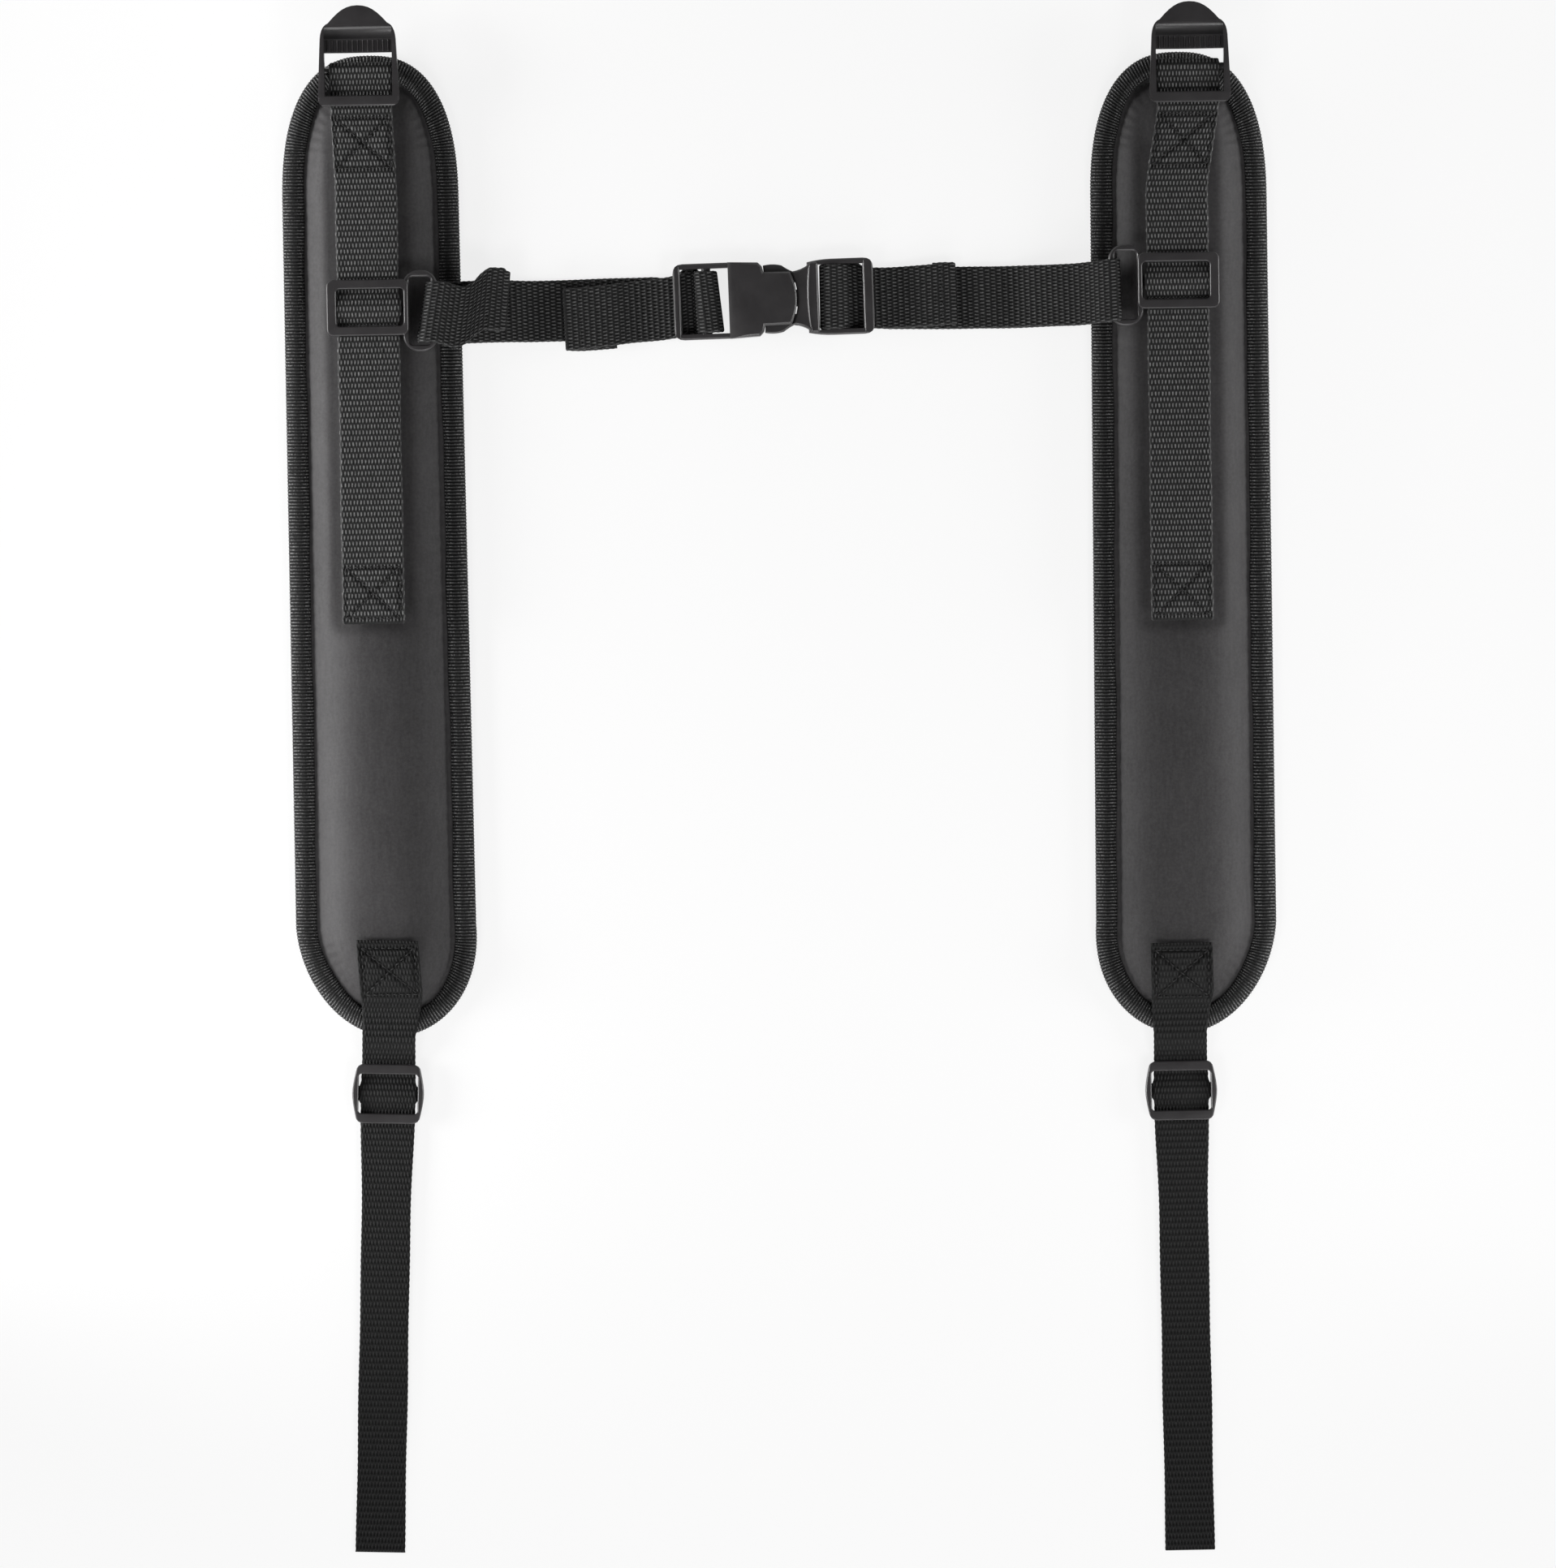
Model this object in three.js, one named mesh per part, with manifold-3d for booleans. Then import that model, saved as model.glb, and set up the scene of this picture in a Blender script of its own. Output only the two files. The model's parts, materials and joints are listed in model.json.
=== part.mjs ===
// Padded shoulder harness for carrying a machine on the back, laid flat with its face up.
// Millimetres. +X is to the right, +Y runs to the shoulder end, +Z is up from the surface it lies on.
import * as THREE from "three";
import { mergeVertices } from "three/addons/utils/BufferGeometryUtils.js";
import Module from "manifold-3d";

const wasm = await Module();
wasm.setup();

// ---------------------------------------------------------------- driving dimensions
const seatGap = 0.3; // between pieces that touch

// Shoulder pads
const padLength = 386;
const padHalfWidthTop = 33.9;
const padHalfWidthBottom = 34.9;
const padThickness = 14; // at the crown, from the lining to the face
const padSpacing = 318.5; // between the pads' middles
const padMidY = 91; // the pads' middles, towards the shoulder end
const topEndLength = 57.6; // the length over which the shoulder end rounds off
const topEndPower = 2.5;
const bottomEndLength = 43;
const bottomEndPower = 2;
const toeIn = 3.4; // the lower tips turn inwards by this much
const toeLength = 66;
const crownPower = 2.6; // how fast the face puffs up from its seam

// Pad layers
const tapeWidth = 8.2; // edge binding on the face and on the back
const tapeThickness = 0.9;
const rimThickness = 4.8; // of the pad at its bound edge
const faceThickness = 0.9;
const liningThickness = 1.0;
const layerSlack = 0.2; // more room between the sewn margins inside the binding

// Webbing
const webHalfWidth = 12.2;
const webThickness = 1.4;
const boxStitchLength = 23.5; // sewn length at the shoulder end
const hingeInset = 22; // where the top loop leaves the sewn length, from the pad's tip
const faceWebLength = 202; // from there to its folded and sewn lower end
const foldUnderLength = 26;
const webShift = -1.2; // the webbing lies a little to the left of both pads' middles
const veerLength = 30; // over which its upper end veers towards the ladder-lock

// Ladder-lock
const lockInnerHalf = 13.35;
const railWidth = 2.65;
const sewingBarRadius = 1.6;
const lockBarReach = 16; // from the hinge to the sewing bar
const keeperNear = 9.9; // keeper bar, from the sewing bar
const keeperFar = 14.1;
const toothBarNear = 7.1;
const toothBarFar = 12.5;
const toothPitch = 2;
const toothCount = 13;
const toothWidth = 1.1;
const toothHeight = 0.9;
const shoulderReach = 18.6; // where the lift tab's dome starts
const domeReach = 25.6;
const domeHalfWidth = 11.7;
const scoopRadius = 4.2; // finger hollow between teeth and lift tab

// Sternum slider
const sliderPlay = 0.8; // the chest strap pulls both sliders inwards on the webbing
const windowHalfWidth = 13.3;
const windowHalfLength = 7.4;
const sliderBarWidth = 3.6;
const sliderRailWidth = 3.7;
const sliderBarHeight = 2.0;
const underBarHalf = 2.2;
const underBarHeight = 1.3;
const ringWidth = 13.8; // upright oval ring that holds the chest strap
const ringLength = 32;
const ringWall = 2.6;
const ringHeight = 3.0;
const ringDrop = 1.5; // the ring's middle lies below the slider's middle
const leftSliderReach = 77.4; // from the top loop's hinge line
const rightSliderReach = 68.1;

// Chest strap
const chestWrapClearance = 0.5; // round the ring's outer bar
const leftFlapLength = 27; // sewn flap at the left ring
const rightFlapLength = 52; // sewn flap below the strap at the right ring
const slopeLength = 38; // over which the strap comes down from the ring to the floor
const leftTailLength = 56;
const rightTailLength = 50;

// Side-release buckle, placed by its mouth
const buckleOffset = 9.4; // from the middle between the two rings
const buckleHeight = 10;
const buckleHalfWidth = 15;
const plateHalfWidth = 10.6; // top and bottom plates between the arms' ears
const plateReach = 13.4;
const bodyLength = 13.5; // closed part of the female body
const bodyWall = 2.1;
const bodySideWall = 2.4;
const rimLength = 2.3; // catch rim at the front of the closed part
const catchHalfWidth = 10.3;
const femaleSlotLength = 5.1; // open slot between body and wrapped bar
const maleSlotLength = 1.8; // between the male half's front bar and its wrapped bar
const adjusterBarRadius = 1.8;
const adjusterHalfSlot = 12.9;
const femaleGrip = 10.3; // from the wrapped bar to the outer bar
const maleGrip = 12.2;
const adjusterCorner = 4; // the frames round off beside their outer bars
const outerBarWidth = 2.9;
const maleOuterBarWidth = 4.2;
const outerBarHeight = 3.0;
const armHeight = 4.8;
const armClearance = 0.4;
const armRootInner = 6.2;
const earHalfWidth = 13.8;
const catchDepth = 1.8;
const guideHalfWidth = 3.3;
const guideDepth = 8.4; // how far the guide tongue goes into the closed body
const baseLength = 4.9;
const baseHalfWidth = 13.9;
const frontBarWidth = 3.4;

// Lower straps and tri-glides
const anchorLength = 39.5;
const anchorThickness = 1.2;
const strapLength = 203;
const strapHalfWidth = 9.7;
const strapHalfWidthTop = 10.6;
const strapTaperStart = 36;
const strapTaperEnd = 70;
const strapThickness = 1.4;
const strapRamp = 8; // from the pad's rim down to the strap's own level
const strapEndDip = 15;
const glideReach = 23.3; // from the pad's tip to the tri-glide's middle
const glideHalfLength = 11.7;
const glideHalfWidth = 14.1;
const glideEndHalfWidth = 12.4;
const glideSlotHalf = 12.2;
const glideBarWidth = 3.9;
const glideBarHeight = 2.0;
const glideMiddleHalf = 2.9;
const glideMiddleHeight = 1.3;

// What differs between the two sides. Leans turn anticlockwise seen from above.
const sides = {
  left: {
    sign: -1,
    lean: 1.05,
    lift: 0,
    sliderReach: leftSliderReach,
    lockShift: -3.3,
    strapShift: 1.4,
    strapLean: -1.0,
  },
  right: {
    sign: 1,
    lean: 0.8,
    lift: 1.5,
    sliderReach: rightSliderReach,
    lockShift: 4.6,
    strapShift: -4.0,
    strapLean: 1.15,
  },
};

// ---------------------------------------------------------------- levels, from the floor up
const liningMarginLow = tapeThickness + seatGap;
const liningMarginHigh = liningMarginLow + liningThickness;
const faceMarginHigh = rimThickness - tapeThickness - seatGap;
const rearPlyLow = padThickness + seatGap;
const plyStep = webThickness + seatGap;
const frontPlyLow = rearPlyLow + plyStep;
const frontPlyMid = frontPlyLow + webThickness / 2;
const frontPlyHigh = frontPlyLow + webThickness;
const sewingBarZ = (rearPlyLow + frontPlyHigh) / 2;
const strapLow = glideMiddleHeight + seatGap;
const buckleMid = buckleHeight / 2;

// Places along the pad, from its middle
const hingeV = padLength / 2 - hingeInset;
const webEndV = hingeV - faceWebLength;

// ---------------------------------------------------------------- materials
const colours = {
  foam: 0x3a3a3c,
  face: 0x3c3a3c,
  lining: 0x2c2c2e,
  tape: 0x242425,
  webbing: 0x2a2a2a,
  strap: 0x232324,
  plastic: 0x262527,
};
const roughness = { foam: 0.95, face: 0.7, lining: 0.9, tape: 0.85, webbing: 0.85, strap: 0.9, plastic: 0.4 };

function finish(kind) {
  return new THREE.MeshStandardMaterial({
    color: colours[kind],
    roughness: roughness[kind],
    metalness: 0,
  });
}

function piece(name, geometry, kind) {
  const mesh = new THREE.Mesh(geometry, finish(kind));
  mesh.name = name;
  return mesh;
}

// ---------------------------------------------------------------- solids
const { clamp, degToRad: radians, lerp, radToDeg: degrees } = THREE.MathUtils;

// Merges shared corners and drops faces that have shrunk to a line.
function welded(geometry) {
  geometry.deleteAttribute("normal");
  geometry.deleteAttribute("uv");
  const merged = mergeVertices(geometry, 1e-4);
  const index = merged.index.array;
  const kept = [];
  for (let i = 0; i < index.length; i += 3) {
    const [a, b, c] = [index[i], index[i + 1], index[i + 2]];
    if (a !== b && b !== c && c !== a) kept.push(a, b, c);
  }
  merged.setIndex(kept);
  return merged;
}

function solid(geometry) {
  const merged = welded(geometry);
  return new wasm.Manifold(
    new wasm.Mesh({
      numProp: 3,
      vertProperties: new Float32Array(merged.attributes.position.array),
      triVerts: new Uint32Array(merged.index.array),
    }),
  );
}

function geometryOf(body) {
  const mesh = body.getMesh();
  const geometry = new THREE.BufferGeometry();
  geometry.setAttribute("position", new THREE.BufferAttribute(mesh.vertProperties, 3));
  geometry.setIndex(new THREE.BufferAttribute(mesh.triVerts, 1));
  const flat = geometry.toNonIndexed();
  flat.computeVertexNormals();
  return flat;
}

function joined(parts) {
  return parts.reduce((whole, part) => whole.add(part));
}

function box(x0, x1, y0, y1, z0, z1) {
  const geometry = new THREE.BoxGeometry(x1 - x0, y1 - y0, z1 - z0);
  geometry.translate((x0 + x1) / 2, (y0 + y1) / 2, (z0 + z1) / 2);
  return solid(geometry);
}

// A plan outline raised from z0 to z1, with its edges eased by bevel.
function raised(shape, z0, z1, bevel = 0, curveSegments = 6) {
  const geometry = new THREE.ExtrudeGeometry(shape, {
    depth: z1 - z0 - 2 * bevel,
    bevelEnabled: bevel > 0,
    bevelThickness: bevel,
    bevelSize: bevel,
    bevelOffset: -bevel,
    bevelSegments: 1,
    curveSegments,
  });
  geometry.translate(0, 0, z0 + bevel);
  return solid(geometry);
}

// A side outline, drawn with x as the run and y as the height, carried across from -half to half.
function profiled(shape, half, curveSegments = 6) {
  const geometry = new THREE.ExtrudeGeometry(shape, { depth: 2 * half, bevelEnabled: false, curveSegments });
  geometry.translate(0, 0, -half);
  geometry.rotateX(Math.PI / 2);
  return solid(geometry);
}

function rodAcross(radius, half, run, height, steps = 12) {
  const geometry = new THREE.CylinderGeometry(radius, radius, 2 * half, steps);
  geometry.translate(run, 0, height);
  return solid(geometry);
}

function polygon(points) {
  return new THREE.Shape(points.map(([x, y]) => new THREE.Vector2(x, y)));
}

function roundedRect(x0, x1, y0, y1, radius) {
  const shape = new THREE.Shape();
  shape.moveTo(x0 + radius, y0);
  shape.lineTo(x1 - radius, y0);
  shape.absarc(x1 - radius, y0 + radius, radius, -Math.PI / 2, 0, false);
  shape.lineTo(x1, y1 - radius);
  shape.absarc(x1 - radius, y1 - radius, radius, 0, Math.PI / 2, false);
  shape.lineTo(x0 + radius, y1);
  shape.absarc(x0 + radius, y1 - radius, radius, Math.PI / 2, Math.PI, false);
  shape.lineTo(x0, y0 + radius);
  shape.absarc(x0 + radius, y0 + radius, radius, Math.PI, 1.5 * Math.PI, false);
  return shape;
}

// Rings of equally many points, joined one to the next. A closed loft joins the last ring to the first.
function lofted(rings, closed) {
  const count = rings[0].length;
  const positions = rings.flat().flatMap((p) => [p.x, p.y, p.z]);
  const index = [];
  const last = closed ? rings.length : rings.length - 1;
  for (let r = 0; r < last; r += 1) {
    const here = r * count;
    const next = ((r + 1) % rings.length) * count;
    for (let i = 0; i < count; i += 1) {
      const j = (i + 1) % count;
      index.push(here + i, next + j, next + i, here + i, here + j, next + j);
    }
  }
  const geometry = new THREE.BufferGeometry();
  geometry.setAttribute("position", new THREE.Float32BufferAttribute(positions, 3));
  geometry.setIndex(index);
  return geometryOf(solid(geometry));
}

// A flat band whose sections are pairs of points in the plane of run (Y) and height (Z).
function band(sections) {
  const positions = [];
  const index = [];
  sections.forEach(({ low, high, side = 0, half }) => {
    for (const [run, height] of [low, high]) {
      positions.push(side - half, run, height, side + half, run, height);
    }
  });
  for (let s = 0; s + 1 < sections.length; s += 1) {
    const a = 4 * s;
    const b = a + 4;
    for (const [p, q] of [[0, 1], [1, 3], [3, 2], [2, 0]]) {
      index.push(a + p, a + q, b + q, a + p, b + q, b + p);
    }
  }
  const end = 4 * (sections.length - 1);
  index.push(0, 2, 3, 0, 3, 1, end, end + 1, end + 3, end, end + 3, end + 2);
  const geometry = new THREE.BufferGeometry();
  geometry.setAttribute("position", new THREE.Float32BufferAttribute(positions, 3));
  geometry.setIndex(index);
  const body = solid(geometry);
  if (body.volume() > 0) return geometryOf(body);
  for (let i = 0; i < index.length; i += 3) [index[i], index[i + 1]] = [index[i + 1], index[i]];
  geometry.setIndex(index);
  return geometryOf(solid(geometry));
}

// Level stretches of webbing, each station with its own lower and upper height.
function strip(stations) {
  return band(
    stations.map(({ run, low, high, side, half }) => ({ low: [run, low], high: [run, high], side, half })),
  );
}

// Webbing of one thickness along a centre line that may turn back on itself.
function ribbon(path, thickness, half, sideAt = () => 0) {
  const sections = path.map((point, i) => {
    const before = path[Math.max(i - 1, 0)];
    const after = path[Math.min(i + 1, path.length - 1)];
    const length = Math.hypot(after[0] - before[0], after[1] - before[1]);
    const across = [-(after[1] - before[1]) / length, (after[0] - before[0]) / length];
    const offset = (d) => [point[0] + across[0] * d, point[1] + across[1] * d];
    return { low: offset(-thickness / 2), high: offset(thickness / 2), side: sideAt(point[0], i), half };
  });
  return band(sections);
}

function arc(run, height, radius, from, to, steps) {
  const points = [];
  for (let i = 0; i <= steps; i += 1) {
    const angle = radians(lerp(from, to, i / steps));
    points.push([run + radius * Math.cos(angle), height + radius * Math.sin(angle)]);
  }
  return points;
}

// ---------------------------------------------------------------- shoulder pad
const endSteps = 7;
const sideSteps = 8;
const spineInset = 38; // the crown's ridge stops this far from each tip

function toeAt(v, sign) {
  const t = clamp((toeLength - (v + padLength / 2)) / toeLength, 0, 1);
  return -sign * toeIn * t * t * (3 - 2 * t);
}

// Outline points from the shoulder tip down one side and up the other, each with its point on the ridge.
function padOutline(sign) {
  const half = padLength / 2;
  const run = [];
  for (let i = 0; i <= endSteps; i += 1) {
    const angle = (Math.PI / 2) * (i / endSteps);
    const w = Math.sin(angle) ** (2 / topEndPower);
    const h = Math.cos(angle) ** (2 / topEndPower);
    run.push({ w, v: half - topEndLength * (1 - h) });
  }
  for (let i = 1; i < sideSteps; i += 1) {
    run.push({ w: 1, v: lerp(half - topEndLength, bottomEndLength - half, i / sideSteps) });
  }
  for (let i = 0; i <= endSteps; i += 1) {
    const angle = (Math.PI / 2) * (i / endSteps);
    const w = Math.cos(angle) ** (2 / bottomEndPower);
    const h = Math.sin(angle) ** (2 / bottomEndPower);
    run.push({ w, v: bottomEndLength * (1 - h) - half });
  }
  const widthAt = (v) => lerp(padHalfWidthBottom, padHalfWidthTop, (v + half) / padLength);
  const down = run.map(({ w, v }) => ({ u: w * widthAt(v), v }));
  const up = down.slice(1, -1).reverse().map(({ u, v }) => ({ u: -u, v }));
  return [...down, ...up].map(({ u, v }) => {
    const ridgeV = clamp(v, spineInset - half, half - spineInset);
    return {
      edge: new THREE.Vector2(u + toeAt(v, sign), v),
      ridge: new THREE.Vector2(toeAt(ridgeV, sign), ridgeV),
    };
  });
}

// The outline drawn in by inset, at height z. A null inset gives the ridge itself.
function ringAt(outline, inset, z) {
  return outline.map(({ edge, ridge }) => {
    const inward = ridge.clone().sub(edge);
    const p = inset === null ? ridge : edge.clone().add(inward.setLength(inset));
    return new THREE.Vector3(p.x, p.y, z);
  });
}

// Height of the face above the floor at a distance in from the rim.
const seamInset = tapeWidth + seatGap;
function crown(inset) {
  const t = clamp((inset - seamInset) / (padHalfWidthTop - seamInset), 0, 1);
  return lerp(faceMarginHigh, padThickness, 1 - (1 - t) ** crownPower);
}

const marginInset = tapeThickness + seatGap + layerSlack;
const crownInsets = [10, 12.5, 16.5, 22.5];

function foamCore(outline) {
  const under = faceThickness + seatGap;
  const edge = seamInset + 2;
  const shoulders = [...crownInsets.slice(1).reverse(), edge].map((d) => [d, crown(d) - under]);
  const top = [[null, padThickness - under], ...shoulders];
  const bottom = [
    [edge - layerSlack, liningMarginHigh + seatGap + layerSlack],
    [edge + 2, liningThickness + seatGap],
    [null, liningThickness + seatGap],
  ];
  return lofted([...top, ...bottom].map(([d, z]) => ringAt(outline, d, z)), false);
}

function faceFabric(outline) {
  const upper = [
    [null, padThickness],
    ...[seamInset, ...crownInsets].reverse().map((d) => [d, crown(d)]),
    [marginInset, faceMarginHigh],
  ];
  const lower = upper.toReversed().map(([d, z]) => [d, z - faceThickness]);
  return lofted([...upper, ...lower].map(([d, z]) => ringAt(outline, d, z)), false);
}

function lining(outline) {
  const step = seamInset + 1.2;
  const profile = [
    [null, liningThickness],
    [step + 1.2, liningThickness],
    [seamInset + 0.4, liningMarginHigh],
    [marginInset, liningMarginHigh],
    [marginInset, liningMarginLow],
    [seamInset, liningMarginLow],
    [step, 0],
    [null, 0],
  ];
  return lofted(profile.map(([d, z]) => ringAt(outline, d, z)), false);
}

function edgeBinding(outline) {
  const round = 1.1;
  const inner = tapeThickness + layerSlack;
  const profile = [
    [tapeWidth, rimThickness],
    [round, rimThickness],
    [0, rimThickness - round],
    [0, round],
    [round, 0],
    [tapeWidth, 0],
    [tapeWidth, tapeThickness],
    [inner, tapeThickness],
    [inner, rimThickness - tapeThickness],
    [tapeWidth, rimThickness - tapeThickness],
  ];
  return lofted(profile.map(([d, z]) => ringAt(outline, d, z)), true);
}

// ---------------------------------------------------------------- webbing on the pad
// Where the loop lies between the ladder-lock's rails.
function loopShift(side) {
  return side.lockShift - Math.sign(side.lockShift - webShift) * sliderPlay;
}

// Two plies where it is sewn, one ply between, so the slider's lower bar passes under it.
function faceWebbing(side) {
  const veerAt = (v) => lerp(webShift, loopShift(side), Math.max(0, (v - hingeV + veerLength) / veerLength));
  const high = frontPlyHigh;
  const double = (v) => ({ run: v, low: rearPlyLow, high, side: veerAt(v), half: webHalfWidth });
  const single = (v) => ({ ...double(v), low: frontPlyLow });
  const step = 0.2;
  const boxEnd = hingeV - boxStitchLength;
  return strip([
    double(hingeV - seatGap),
    double(boxEnd),
    single(boxEnd - step),
    single(hingeV - veerLength),
    single(webEndV + foldUnderLength + step),
    double(webEndV + foldUnderLength),
    double(webEndV),
  ]);
}

// Drawn from the hinge line, which is its own origin.
function topLoop(side) {
  const radius = sewingBarRadius + seatGap + webThickness / 2;
  const rear = rearPlyLow + webThickness / 2 - frontPlyHigh;
  const front = frontPlyMid - frontPlyHigh;
  const wrap = arc(lockBarReach, sewingBarZ - frontPlyHigh, radius, -100, 100, 10);
  const path = [[seatGap, rear], [3, rear], ...wrap, [3, front], [seatGap, front]];
  return ribbon(path, webThickness, webHalfWidth, () => loopShift(side));
}

// ---------------------------------------------------------------- ladder-lock
// Drawn about its sewing bar, with the lift tab towards +Y.
function lockOutline() {
  const half = lockInnerHalf + railWidth;
  const top = half - 1.1;
  const corner = 3;
  const shape = new THREE.Shape();
  shape.moveTo(-half + corner, -keeperFar);
  shape.lineTo(half - corner, -keeperFar);
  shape.absarc(half - corner, corner - keeperFar, corner, -Math.PI / 2, 0, false);
  shape.lineTo(top, toothBarFar);
  shape.quadraticCurveTo(top - 0.4, shoulderReach - 1, domeHalfWidth, shoulderReach);
  shape.bezierCurveTo(7.6, domeReach - 2.2, 4.6, domeReach, 0, domeReach);
  shape.bezierCurveTo(-4.6, domeReach, -7.6, domeReach - 2.2, -domeHalfWidth, shoulderReach);
  shape.quadraticCurveTo(-top + 0.4, shoulderReach - 1, -top, toothBarFar);
  shape.lineTo(-half, corner - keeperFar);
  shape.absarc(corner - half, corner - keeperFar, corner, Math.PI, 1.5 * Math.PI, false);
  return shape;
}

function ladderLock() {
  const half = lockInnerHalf + railWidth;
  const wrapRadius = sewingBarRadius + 2 * seatGap + webThickness;
  const keeperLow = wrapRadius - 0.9;
  const keeperHigh = keeperLow + 2.1;
  const railLow = -2.3;
  const tabLow = 0.2;
  const tabHigh = 3.4;
  const toothTop = 2.6;

  // Rails, seen from the side: deep at the bar, low at the keeper, running out into the lift tab.
  const rail = new THREE.Shape();
  rail.moveTo(-keeperFar, 1.4);
  rail.lineTo(-keeperNear, railLow);
  rail.lineTo(toothBarNear, railLow);
  rail.quadraticCurveTo(toothBarFar, railLow + 0.2, shoulderReach, tabLow);
  rail.lineTo(shoulderReach, tabHigh);
  rail.quadraticCurveTo(toothBarFar, keeperHigh - 0.4, toothBarNear, keeperHigh - 0.2);
  rail.lineTo(-keeperFar + 1, keeperHigh);
  rail.lineTo(-keeperFar, keeperHigh - 1);
  const railSettings = { depth: railWidth, bevelEnabled: false, curveSegments: 4 };
  const railGeometry = new THREE.ExtrudeGeometry(rail, railSettings);
  // The side outline's x becomes Y and its y becomes Z.
  railGeometry.applyMatrix4(new THREE.Matrix4().set(0, 0, 1, 0, 1, 0, 0, 0, 0, 1, 0, 0, 0, 0, 0, 1));
  const oneRail = solid(railGeometry);
  const rails = [oneRail.translate(lockInnerHalf, 0, 0), oneRail.translate(-half, 0, 0)];

  const bar = new THREE.CylinderGeometry(sewingBarRadius, sewingBarRadius, 2 * lockInnerHalf + railWidth, 12);
  bar.rotateZ(Math.PI / 2);
  const keeper = raised(
    roundedRect(-half, half, -keeperFar, -keeperNear, 0.6), keeperLow, keeperHigh, 0.4, 2,
  );
  const toothBar = box(-half, half, toothBarNear, toothBarFar, -1.2, toothTop);
  const scoop = new THREE.CylinderGeometry(scoopRadius, scoopRadius, 2 * lockInnerHalf, 20);
  scoop.rotateZ(Math.PI / 2);
  scoop.translate(0, toothBarFar + 1.4, tabHigh + scoopRadius - 2.4);
  const tab = box(-half, half, toothBarFar - 0.1, domeReach + 1, tabLow, tabHigh).subtract(solid(scoop));

  const teeth = [];
  for (let i = 0; i < toothCount; i += 1) {
    const x = (i - (toothCount - 1) / 2) * toothPitch;
    const tooth = polygon([
      [x - toothWidth / 2, toothTop - 0.3],
      [x + toothWidth / 2, toothTop - 0.3],
      [x, toothTop + toothHeight],
    ]);
    const geometry = new THREE.ExtrudeGeometry(tooth, { depth: 4.4, bevelEnabled: false });
    geometry.rotateX(Math.PI / 2);
    geometry.translate(0, toothBarNear + 4.7, 0);
    teeth.push(solid(geometry));
  }
  const plan = raised(lockOutline(), railLow - 1, keeperHigh + 1, 0, 6);
  const whole = joined([...rails, solid(bar), keeper, toothBar, tab, ...teeth]);
  return geometryOf(whole.intersect(plan));
}

// ---------------------------------------------------------------- sternum slider
// Drawn about the middle of its window, at the webbing's mid height, with the ring towards +X.
const ringMidZ = -webThickness / 2 - seatGap - underBarHeight + ringHeight / 2 - 0.3;
const ringOuterX = windowHalfWidth - 0.5 + ringWidth;
const ringBarX = ringOuterX - ringWall / 2;

function slider(sign) {
  const barLow = webThickness / 2 + seatGap;
  const barHigh = barLow + sliderBarHeight;
  const underHigh = -barLow;
  const underLow = underHigh - underBarHeight;
  const outerX0 = -windowHalfWidth - sliderRailWidth;
  const outerX1 = windowHalfWidth + 1.7;
  const outerY = windowHalfLength + sliderBarWidth;

  const outline = roundedRect(outerX0, outerX1, -outerY, outerY, 2.6);
  const window = roundedRect(-windowHalfWidth, windowHalfWidth, -windowHalfLength, windowHalfLength, 1.6);
  const framePlan = outline.clone();
  framePlan.holes.push(window);
  const frame = raised(framePlan, barLow, barHigh, 0.35, 3);
  const rails = raised(outline, underLow, barLow + 0.6, 0.35, 3).subtract(
    box(-windowHalfWidth, windowHalfWidth, -outerY - 1, outerY + 1, underLow - 1, barHigh + 1),
  );
  const underBar = box(
    -windowHalfWidth - 1, windowHalfWidth + 1, -underBarHalf, underBarHalf, underLow, underHigh,
  );

  const ringHalf = ringLength / 2;
  const ringPlan = roundedRect(
    ringOuterX - ringWidth, ringOuterX, -ringDrop - ringHalf, ringHalf - ringDrop, ringWidth / 2 - 0.6,
  );
  ringPlan.holes.push(
    roundedRect(
      ringOuterX - ringWidth + ringWall,
      ringOuterX - ringWall,
      ringWall - ringDrop - ringHalf,
      ringHalf - ringWall - ringDrop,
      1.6,
    ),
  );
  const ring = raised(ringPlan, ringMidZ - ringHeight / 2, ringMidZ + ringHeight / 2, 0.6, 4);
  const whole = joined([frame, rails, underBar, ring]);
  return geometryOf(sign > 0 ? whole.mirror([1, 0, 0]) : whole);
}

// ---------------------------------------------------------------- side-release buckle
// Drawn about its mouth, with the female half towards -X and the male half towards +X, z = 0 on the floor.
const bodyFront = -plateReach;
const bodyRear = bodyFront - bodyLength;
const wrapOuter = adjusterBarRadius + seatGap + webThickness;
const femaleBarX = bodyRear - femaleSlotLength - wrapOuter;
const maleBaseRear = 0.4 + baseLength;
const frontBarEnd = maleBaseRear + frontBarWidth;
const maleBarX = frontBarEnd + maleSlotLength + wrapOuter;
const outerBarLow = 4.4;

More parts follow.
